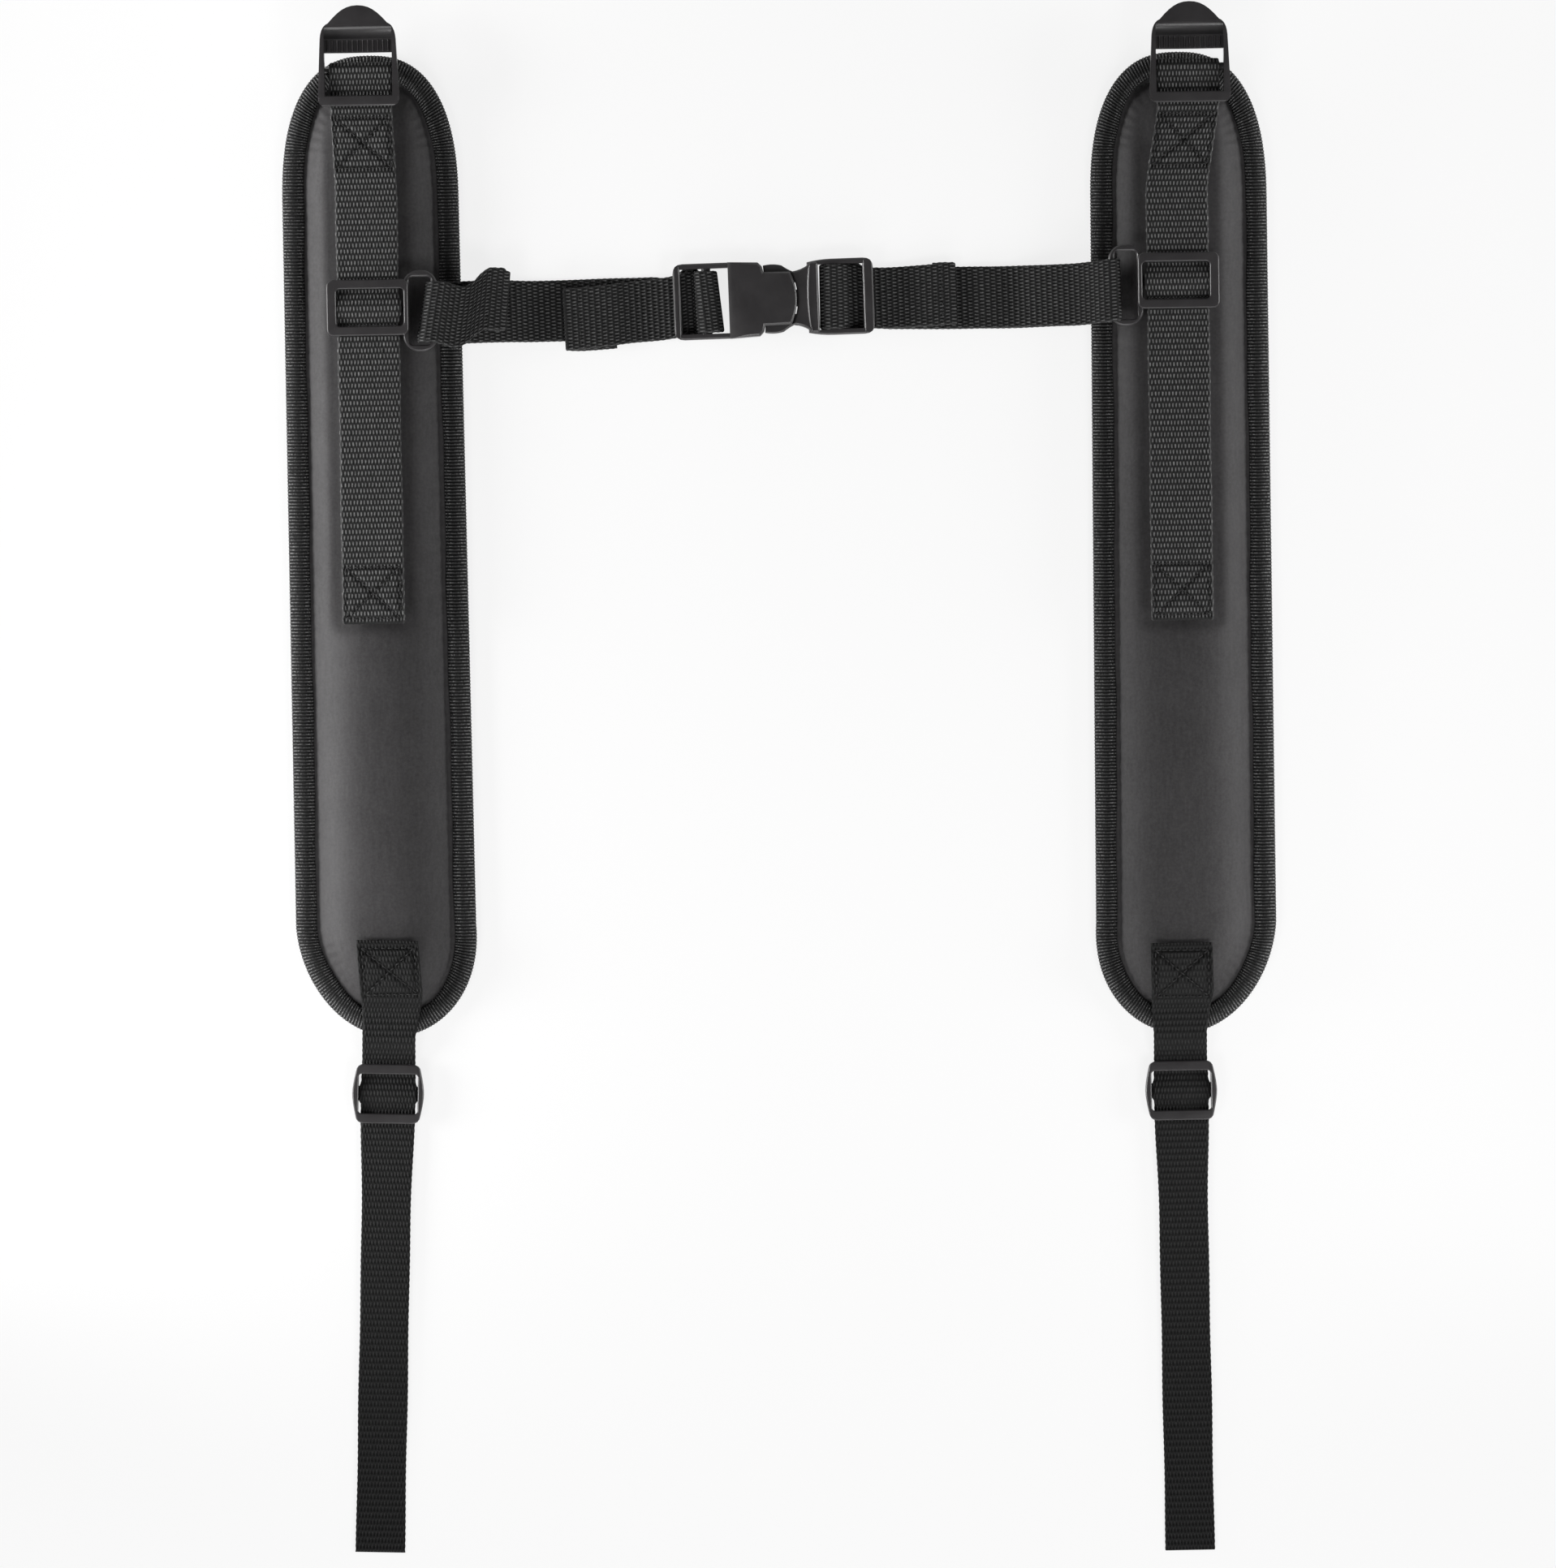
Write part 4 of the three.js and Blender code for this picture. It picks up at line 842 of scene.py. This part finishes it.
# ---------------------------------------------------------------- webbing on the pads
def face_webbing(name, side):
    """One length of webbing: folded under at its sewn end, up the pad, round the ladder-lock's bar
    and back."""
    shift = side["lock_shift"] - math.copysign(LOCK_PLAY, side["lock_shift"] - WEB_SHIFT)

    def at(v, z):
        share = max(0.0, (v - HINGE_V + VEER_LENGTH) / VEER_LENGTH)
        return station(WEB_SHIFT + (shift - WEB_SHIFT) * min(1.0, share), v, z)

    between = (REAR_MID + FRONT_MID) / 2
    fold = [at(v, z) for v, z in arc(WEB_END_V + 1.6, between, 0.9, 0.85, 270, 90, 6)]
    rows = [at(WEB_END_V + FOLD_UNDER, REAR_MID), at(WEB_END_V + 14, REAR_MID), *fold]
    rows += [at(v, FRONT_MID) for v in np.arange(WEB_END_V + 14, HINGE_V - 4, 12.0)]
    rows += [at(HINGE_V - 3, FRONT_MID), at(HINGE_V + 2, FRONT_MID)]
    rows += [at(HINGE_V + 6, FRONT_MID + 0.35), at(HINGE_V + 11, FRONT_MID + 1.0)]
    loop = arc(HINGE_V + BAR_REACH, BAR_LEVEL, LOOP_RADIUS, LOOP_RADIUS, 100, -100, 12)
    rows += [at(v, z) for v, z in loop]
    rows += [at(HINGE_V + 9, REAR_MID - 0.9), at(HINGE_V + 2, REAR_MID), at(HINGE_V - 4, REAR_MID)]
    rows += [at(HINGE_V - 14, REAR_MID), at(HINGE_V - BOX_LENGTH + 0.5, REAR_MID)]
    upper = box_lines(at, HINGE_V - BOX_LENGTH + 1.2, HINGE_V - 2.4)
    lower = box_lines(at, WEB_END_V + 2.2, WEB_END_V + 22.5)
    place = pads[name]
    dents = upper + lower
    web = ribbon(f"{name}_webbing_and_loop", place, rows, WEB, dents=dents)
    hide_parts(f"{name}_face_webbing", f"{name}_top_loop")
    place.metres(0, HINGE_V - 2.5, FRONT_MID)
    place.metres(0, HINGE_V + 2.5, FRONT_MID)
    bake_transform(web)
    level = FRONT_MID + WEB_THICK / 2 - 0.05
    for part, lines in (("upper", upper), ("lower", lower)):
        runs = [place.world([(*a, level), (*b, level)]) for a, b in lines]
        stitched(f"{name}_{part}_box_stitches", runs, f"{name}_pad")


def box_lines(at, v0, v1):
    """The lines of a sewn rectangle with a cross in it, as pairs of u, v points."""
    half = WEB_HALF - 1.5

    def corner(v, sign):
        return (float(at(v, 0)[0] + sign * half), v)

    a, b, c, d = corner(v0, -1), corner(v0, 1), corner(v1, 1), corner(v1, -1)
    return [(a, b), (b, c), (c, d), (d, a), (a, c), (b, d)]


def window_bulge(name, place, body, level, rise, half, material):
    """Webbing that swells over a hidden middle bar, as a window of bars shows it."""
    rows = []
    for v in np.linspace(-WINDOW_REACH, WINDOW_REACH, 29):
        share = math.cos(min(abs(v) / WINDOW_HALF, 1) * math.pi / 2) ** 1.2
        spread = 0.9 / (1 + math.exp((abs(v) - 3.5) / 0.35))
        thick = 0.5 + rise * share
        rows.append(station(0, v, level + rise * share / 2, half + spread, thick))
    bulge = ribbon(name, place, rows, material)
    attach(bulge, body)


# ---------------------------------------------------------------- lower straps
def lower_strap(name, side):
    """The sewn anchor and the strap below it, one length of webbing that turns at the pad's tip."""
    pad, strap = pads[name], straps[name]
    tip = -PAD_LENGTH / 2
    anchor = side["anchor_length"]

    def on_pad(reach, across=0.0, lift=0.0):
        """A point by its distance from the pad's tip and from the anchor's middle, with the share
        of the way from the strap's line to the pad's."""
        t = min(reach / TIP_BLEND, 1)
        lean = side["anchor_lean"] * max(0.0, (reach - TIP_BLEND) / (anchor - TIP_BLEND))
        middle = float(toe(tip + reach, side["sign"])) + lean
        u = side["strap_shift"] + (middle - side["strap_shift"]) * t
        z = max(float(crown(reach)), RIM_HEIGHT) + ANCHOR_GAP + lift
        return pad.world([u + across, tip + reach, z]), t

    rows = []
    for i in range(12):
        point, t = on_pad(anchor * (1 - i / 11) + 0.4)
        rows.append((*point, STRAP_HALF_TOP + (WEB_HALF - STRAP_HALF_TOP) * t))
    length = side["strap_length"]
    levels = [
        (2.4, 5.6), (5.0, 4.6), (8.0, 2.9), (12.0, STRAP_LEVEL), (36.0, STRAP_LEVEL),
        (70.0, STRAP_LEVEL), (110.0, STRAP_LEVEL - 0.4), (150.0, 1.5), (length - 16, 1.0),
        (length, 0.8),
    ]
    for run, z in levels:
        t = np.clip((run - 36) / 34, 0, 1)
        half = STRAP_HALF_TOP + (STRAP_HALF - STRAP_HALF_TOP) * t
        rows.append((*strap.world([0, -run, z]), float(half)))
    flat = Place((0, 0), (-strap.x[0], -strap.x[1]))
    stations = []
    for x, y, z, half in rows:
        local = np.array([x, y])
        u, v = float(local @ flat.x), float(local @ flat.y)
        stations.append(station(u, v, z, half, STRAP_THICK))
    box = ANCHOR_BOX_HALF
    near, far = anchor - 21.0, anchor - 2.6
    corners = [(-box, far), (box, far), (box, near), (-box, near)]
    lines = []
    for i, j in ((0, 1), (1, 2), (2, 3), (3, 0), (0, 2), (1, 3)):
        along = np.linspace(corners[i], corners[j], 7)
        line = [on_pad(reach, across, ANCHOR_STITCH_LIFT)[0] for across, reach in along]
        lines.append(np.array(line))
    dents = [flat.local(line[[0, -1]])[:, :2] for line in lines]
    web = ribbon(
        f"{name}_anchor_and_strap", flat, stations, STRAP, STRAP_ROW,
        STRAP_ROW_HEIGHT, dents,
    )
    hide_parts(f"{name}_lower_anchor", f"{name}_lower_strap")
    strap.metres(0, 2.0, 5.5)
    strap.metres(0, -4.0, 5.5)
    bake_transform(web)
    stitched(f"{name}_anchor_stitches", lines, f"{name}_pad")


# ---------------------------------------------------------------- chest strap
def fold_back(v, z, direction):
    """Centre line round a fold at v, from the lower ply to the upper one or back."""
    turn = (-90, 90) if direction > 0 else (90, -90)
    return arc(v, z, PLY / 2, PLY / 2, *turn, 6)


def left_chest():
    """From the peeled-up flap round the ring, to the buckle's bar and back as a folded tail."""
    bar = mouth_run - FEMALE_BAR
    outer = bar - FEMALE_GRIP
    floor = WEB_THICK / 2
    tail_end = bar - LEFT_TAIL

    def s(u, v, z, lean=0.0, twist=0.0, half=WEB_HALF):
        return station(u, v, z, half, CHEST_THICK, lean, twist)

    # The flap, with its end folded up
    rows = [
        s(-3.7, 20.8, 10.1, -0.12, -0.05), s(-3.5, 24.0, 9.5, -0.12, -0.06),
        s(-3.4, 27.0, 8.9, -0.114, -0.08),
    ]
    folded = fold_back(27.6, 8.9 + PLY / 2, 1)
    rows += [s(-3.2, v, z, -0.114, -0.08, WEB_HALF - 0.7) for v, z in folded]
    rows += [
        s(-3.5, 26.6, 10.35, -0.114, -0.08), s(-3.9, 24.2, 10.9, -0.12, -0.08),
        s(-4.0, 20.8, 11.7, -0.12, -0.06), s(-1.9, 17.2, 12.7, -0.13, -0.03),
        s(1.5, 13.4, 13.9, -0.15), s(2.9, 9.4, 15.5, -0.16), s(2.1, 5.8, 17.2, -0.17),
        s(1.0, 2.8, 18.3, RING_LEAN),
    ]
    # Round the ring and down to the buckle
    ring = arc(-0.7, RING_LEVEL, 3.9, 3.0, 75, 285, 12)
    rows += [s(0.5, v, z, RING_LEAN) for v, z in ring]
    rows += [
        s(0.7, 3.4, 12.6, -0.15), s(0.9, 8.5, 11.3, -0.08), s(0.9, 14.0, 9.3, -0.03),
        s(0.8, 20.0, 6.8), s(0.9, 29.0, 3.8), s(1.2, 37.0, 1.5), s(1.3, 44.0, 0.8),
        s(1.5, 65.0, floor), s(1.6, bar - 22, floor), s(1.2, outer - 1.5, 0.9),
        s(-0.2, outer + 2, 1.3, half=UNDER_HALF), s(-0.3, outer + 6, 1.5, half=UNDER_HALF),
    ]
    # Round the buckle's bar and back over the outer bar
    rows += [s(0.2, v, z, 0.09) for v, z in arc(bar, BUCKLE_BAR_LEVEL, 4.7, 2.8, -100, 95, 12)]
    rows += [
        s(0.2, bar - 2.4, 7.5, 0.06), s(0.2, bar - 3.6, 6.4, 0.04), s(0.2, bar - 4.1, 4.7, 0.02),
        s(0.3, bar - 4.9, 3.1, 0.02), s(0.5, outer + 2.5, 2.8, 0.02),
        s(1.4, outer - 1.5, 2.75, 0.02), s(2.1, outer - 6, 2.3, 0.02),
    ]
    # The tail, with its end folded under
    rows += [
        s(3.2, 76.0, 2.35, 0.018), s(3.9, 69.5, 3.5, 0.018), s(4.3, 65.0, 3.8, 0.018),
        s(4.8, 57.0, 3.8, 0.018), s(5.0, tail_end + 1.2, 3.8, 0.018),
    ]
    folded = fold_back(tail_end + 0.8, 3.8 - PLY / 2, -1)
    rows += [s(5.0, 2 * tail_end + 1.6 - v, z, 0.018) for v, z in folded]
    rows += [
        s(5.2, tail_end + 3, 2.4, 0.018), s(5.2, tail_end + 12, 2.4, 0.018),
        s(4.9, tail_end + 20, 2.3, 0.018),
    ]

    place = left_run.turned(-90)
    hems = [((-14.0, 23.0), (6.2, 20.6)), ((-6.0, tail_end + 5.6), (16.0, tail_end + 6.0))]
    web = ribbon(
        "left_chest_strap", place, rows, CHEST_WEB_PAINTED_SHADE, rib_height=CHEST_ROW_HEIGHT, dents=hems,
    )
    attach(web, "chest_left")
    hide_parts("left_chest_webbing")
    hem_stitches("left_flap_hem", place, (-3.9, 21.6, 12.1), -0.12, "chest_left", drop=-0.06)
    hem_stitches("left_tail_hem", place, (4.8, tail_end + 5.8, 4.5), 0.018, "chest_left")


def hem_stitches(name, place, middle, skew, body, drop=0.0):
    """One line of stitches across the webbing."""
    u, v, z = middle
    half = WEB_HALF - 1.2
    ends = [(u + sign * half, v + sign * half * skew, z + sign * half * drop) for sign in (-1, 1)]
    stitched(name, [place.world(ends)], body, pitch=2.2)


def right_chest():
    """From the flap under the strap round the ring, down to the buckle's bar and back as a tail."""
    bar = 2 * HALF_SPAN - mouth_run - MALE_BAR
    outer = bar - MALE_GRIP
    floor = WEB_THICK / 2
    low_z = RING_LEVEL - RING_WRAP
    tail_end = bar - RIGHT_TAIL

    def drift(v):
        runs = (-3, 12, 44, 87, 100, 110)
        return float(np.interp(v, runs, (-1.8, -2.9, -2.5, -1.4, -0.5, -0.3)))

    def s(v, z, shift=0.0, lean=0.0, half=WEB_HALF):
        return station(drift(v) + shift, v, z, half, CHEST_THICK, lean)

    def lower(v):
        return low_z + (floor - low_z) * min(1.0, max(0.0, (v - 1.3) / 36.7))

    def upper(v):
        share = min(1.0, max(0.0, (v - 1.3) / 9.7))
        return lower(v) + 2 * RING_WRAP + (PLY - 2 * RING_WRAP) * share

    # The flap, the ring and the strap over the flap
    rows = [s(v, lower(v)) for v in (RIGHT_FLAP, 44.0, 37.0, 29.0, 20.0, 14.0, 8.0, 3.0)]
    rows += [s(v, z) for v, z in arc(0, RING_LEVEL, 2.9, RING_WRAP, -90, -270, 10)]
    rows += [s(v, upper(v)) for v in (3.0, 8.0, 14.0, 20.0, 29.0, 37.0, 46.0, RIGHT_FLAP - 1)]
    rows += [s(RIGHT_FLAP + 6, floor + 0.3), s(bar - 30, floor), s(bar - 22, floor)]
    # Under the outer bar, round the buckle's bar and back
    rows += [s(outer - 1.5, floor + 0.2), s(outer + 2, floor + 0.5, 0.2, half=UNDER_HALF)]
    wrap = arc(bar, BUCKLE_BAR_LEVEL, 4.3, 2.8, -100, 100, 12)
    rows += [s(v, z, 0.3, -0.02, FILLED_HALF) for v, z in wrap]
    rows += [s(outer + 2.5, 3.5, 0.2, half=FILLED_HALF), s(outer - 1.5, 2.8), s(outer - 6, 2.35)]
    # The tail, with its end folded under
    rows += [s(tail_end + 16, 2.6, 0.7), s(tail_end + 10, 3.6, 1.0), s(tail_end + 5, 3.8, 1.4)]
    rows += [s(tail_end + 1.6, 3.8, 1.7)]
    folded = fold_back(tail_end + 0.8, 3.8 - PLY / 2, -1)
    rows += [s(2 * tail_end + 1.6 - v, z, 1.7) for v, z in folded]
    rows += [s(tail_end + 3, 2.4, 1.8), s(tail_end + 8.5, 2.4, 1.6)]

    place = right_run.turned(-90)
    hems = [((-12.0, tail_end + 5.0), (14.0, tail_end + 5.0))]
    web = ribbon(
        "right_chest_strap", place, rows, CHEST_WEB_PAINTED_SHADE, rib_height=CHEST_ROW_HEIGHT, dents=hems,
    )
    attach(web, "chest_right")
    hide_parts("right_chest_webbing")
    middle = (drift(tail_end) + 1.5, tail_end + 5.0, 4.5)
    hem_stitches("right_tail_hem", place, middle, 0.0, "chest_right")


# ---------------------------------------------------------------- moulded pieces
def moulded(node, body, width):
    """The solid piece with its moulded edges rounded."""
    source = frame["nodes"][node]
    made = bpy.data.objects.new(f"{node}_moulding", source.data.copy())
    bpy.context.scene.collection.objects.link(made)
    bm = bmesh.new()
    bm.from_mesh(made.data)
    bmesh.ops.remove_doubles(bm, verts=bm.verts, dist=WELD * MM)
    flat = math.radians(FLAT_ANGLE)
    bmesh.ops.dissolve_limit(bm, angle_limit=flat, verts=bm.verts, edges=bm.edges)
    bm.to_mesh(made.data)
    bm.free()
    bevel = made.modifiers.new("round", "BEVEL")
    bevel.width = width * MM
    bevel.segments = ROUND_SEGMENTS
    bevel.limit_method = "ANGLE"
    bevel.angle_limit = math.radians(ROUND_ANGLE)
    final = evaluated_mesh(made)
    made.modifiers.clear()
    made.data = final
    made.data.materials.clear()
    made.data.materials.append(PLASTIC)
    made.data.shade_smooth()
    made.data.set_sharp_from_angle(angle=math.radians(SHARP_ANGLE))
    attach(made, body)
    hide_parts(node)


# ---------------------------------------------------------------- stage, camera and light
def stage():
    """A pale floor that is white to the camera and in reflections and keeps its shadows."""
    bpy.ops.mesh.primitive_plane_add(size=FLOOR_SIZE, location=(0, 0, -FLOOR_DROP))
    floor = bpy.context.object
    floor.name = "floor"
    s = Shader("floor")
    rays = s.node("ShaderNodeLightPath")
    seen = s.math("MAXIMUM", rays.outputs["Is Camera Ray"], rays.outputs["Is Glossy Ray"])
    seen = s.math("MAXIMUM", seen, rays.outputs["Is Transmission Ray"])
    glow = s.node("ShaderNodeEmission")
    glow.inputs["Color"].default_value = (1, 1, 1, 1)
    blend = s.node("ShaderNodeMixShader")
    s.links.new(s.math("MULTIPLY", seen, FLOOR_GLOW), blend.inputs[0])
    s.set(Base_Color=grey(245), Roughness=0.9, Specular_IOR_Level=0.0)
    s.links.new(s.surface.outputs[0], blend.inputs[1])
    s.links.new(glow.outputs[0], blend.inputs[2])
    s.links.new(blend.outputs[0], s.nodes["Material Output"].inputs["Surface"])
    floor.data.materials.append(s.material)


def world():
    """An even pale surround that is white to the camera."""
    scene_world = bpy.data.worlds.new("studio")
    bpy.context.scene.world = scene_world
    scene_world.use_nodes = True
    nodes, links = scene_world.node_tree.nodes, scene_world.node_tree.links
    back = nodes["Background"]
    rays = nodes.new("ShaderNodeLightPath")
    ramp = nodes.new("ShaderNodeMapRange")
    links.new(rays.outputs["Is Camera Ray"], ramp.inputs[0])
    ramp.inputs["To Min"].default_value = WORLD_STRENGTH
    ramp.inputs["To Max"].default_value = 1.0
    links.new(ramp.outputs[0], back.inputs["Strength"])
    back.inputs["Color"].default_value = (1, 1, 1, 1)


def softbox(name, position, aim, size, power, spread=180):
    """A rectangular lamp, by its place and aim in metres and its power in watts."""
    lamp = bpy.data.lights.new(name, "AREA")
    lamp.shape = "RECTANGLE"
    lamp.size, lamp.size_y = size
    lamp.energy = power
    lamp.spread = math.radians(spread)
    made = bpy.data.objects.new(name, lamp)
    made.location = position
    towards = Vector(aim) - Vector(position)
    made.rotation_euler = towards.to_track_quat("-Z", "Y").to_euler()
    bpy.context.scene.collection.objects.link(made)


def camera():
    """Straight above, with a long lens."""
    made = bpy.data.objects.new("camera", bpy.data.cameras.new("camera"))
    made.data.lens = LENS
    made.data.sensor_fit = "VERTICAL"
    made.data.sensor_height = SENSOR
    made.data.clip_end = 50
    distance = VIEW_HEIGHT * MM * LENS / SENSOR
    made.location = (VIEW_X * MM, VIEW_Y * MM, distance + 0.01)
    bpy.context.scene.collection.objects.link(made)
    bpy.context.scene.camera = made


stage()
world()
camera()
softbox("left_softbox", (-0.44, 0.14, 0.1), (-0.16, 0.14, 0), (0.7, 0.12), 0.52, 45)
softbox("right_softbox", (0.46, 0.14, 0.1), (0.16, 0.14, 0), (0.7, 0.12), 0.27, 45)
softbox("front_softbox", (0.0, -1.3, 0.5), (0, 0.1, 0), (1.2, 0.5), 9.5)
softbox("upper_left_softbox", (-0.8, -0.75, 1.15), (0, 0.05, 0), (0.5, 0.5), 5.3)
softbox("upper_right_softbox", (0.8, -0.75, 1.15), (0, 0.05, 0), (0.5, 0.5), 6.0)

for name, side in SIDES.items():
    binding(name, side)
    cushion(name, side)
    lining(name, side)
    face_webbing(name, side)
    lower_strap(name, side)
    slider_place = pads[name].moved(WEB_SHIFT, side["slider_v"])
    window_bulge(
        f"{name}_slider_bulge", slider_place, f"{name}_slide", FRONT_MID + 0.5, 1.9, WEB_HALF, WEB,
    )
    glide_place = straps[name].moved(0, -GLIDE_REACH)
    window_bulge(
        f"{name}_glide_bulge", glide_place, f"{name}_glide", STRAP_LEVEL + 0.45, 1.2,
        STRAP_HALF_TOP, STRAP,
    )
left_chest()
right_chest()

for name in SIDES:
    moulded(f"{name}_ladder_lock", f"{name}_lock", LARGE_ROUND)
    moulded(f"{name}_slider", f"{name}_slide", LARGE_ROUND)
    moulded(f"{name}_tri_glide", f"{name}_glide", GLIDE_ROUND)
moulded("female_buckle", "chest_left", LARGE_ROUND)
moulded("male_buckle", "chest_right", LARGE_ROUND)
moulded("upper_spring_arm", "upper_arm", ARM_ROUND)
moulded("lower_spring_arm", "lower_arm", ARM_ROUND)

bpy.context.scene.view_settings.view_transform = "Standard"
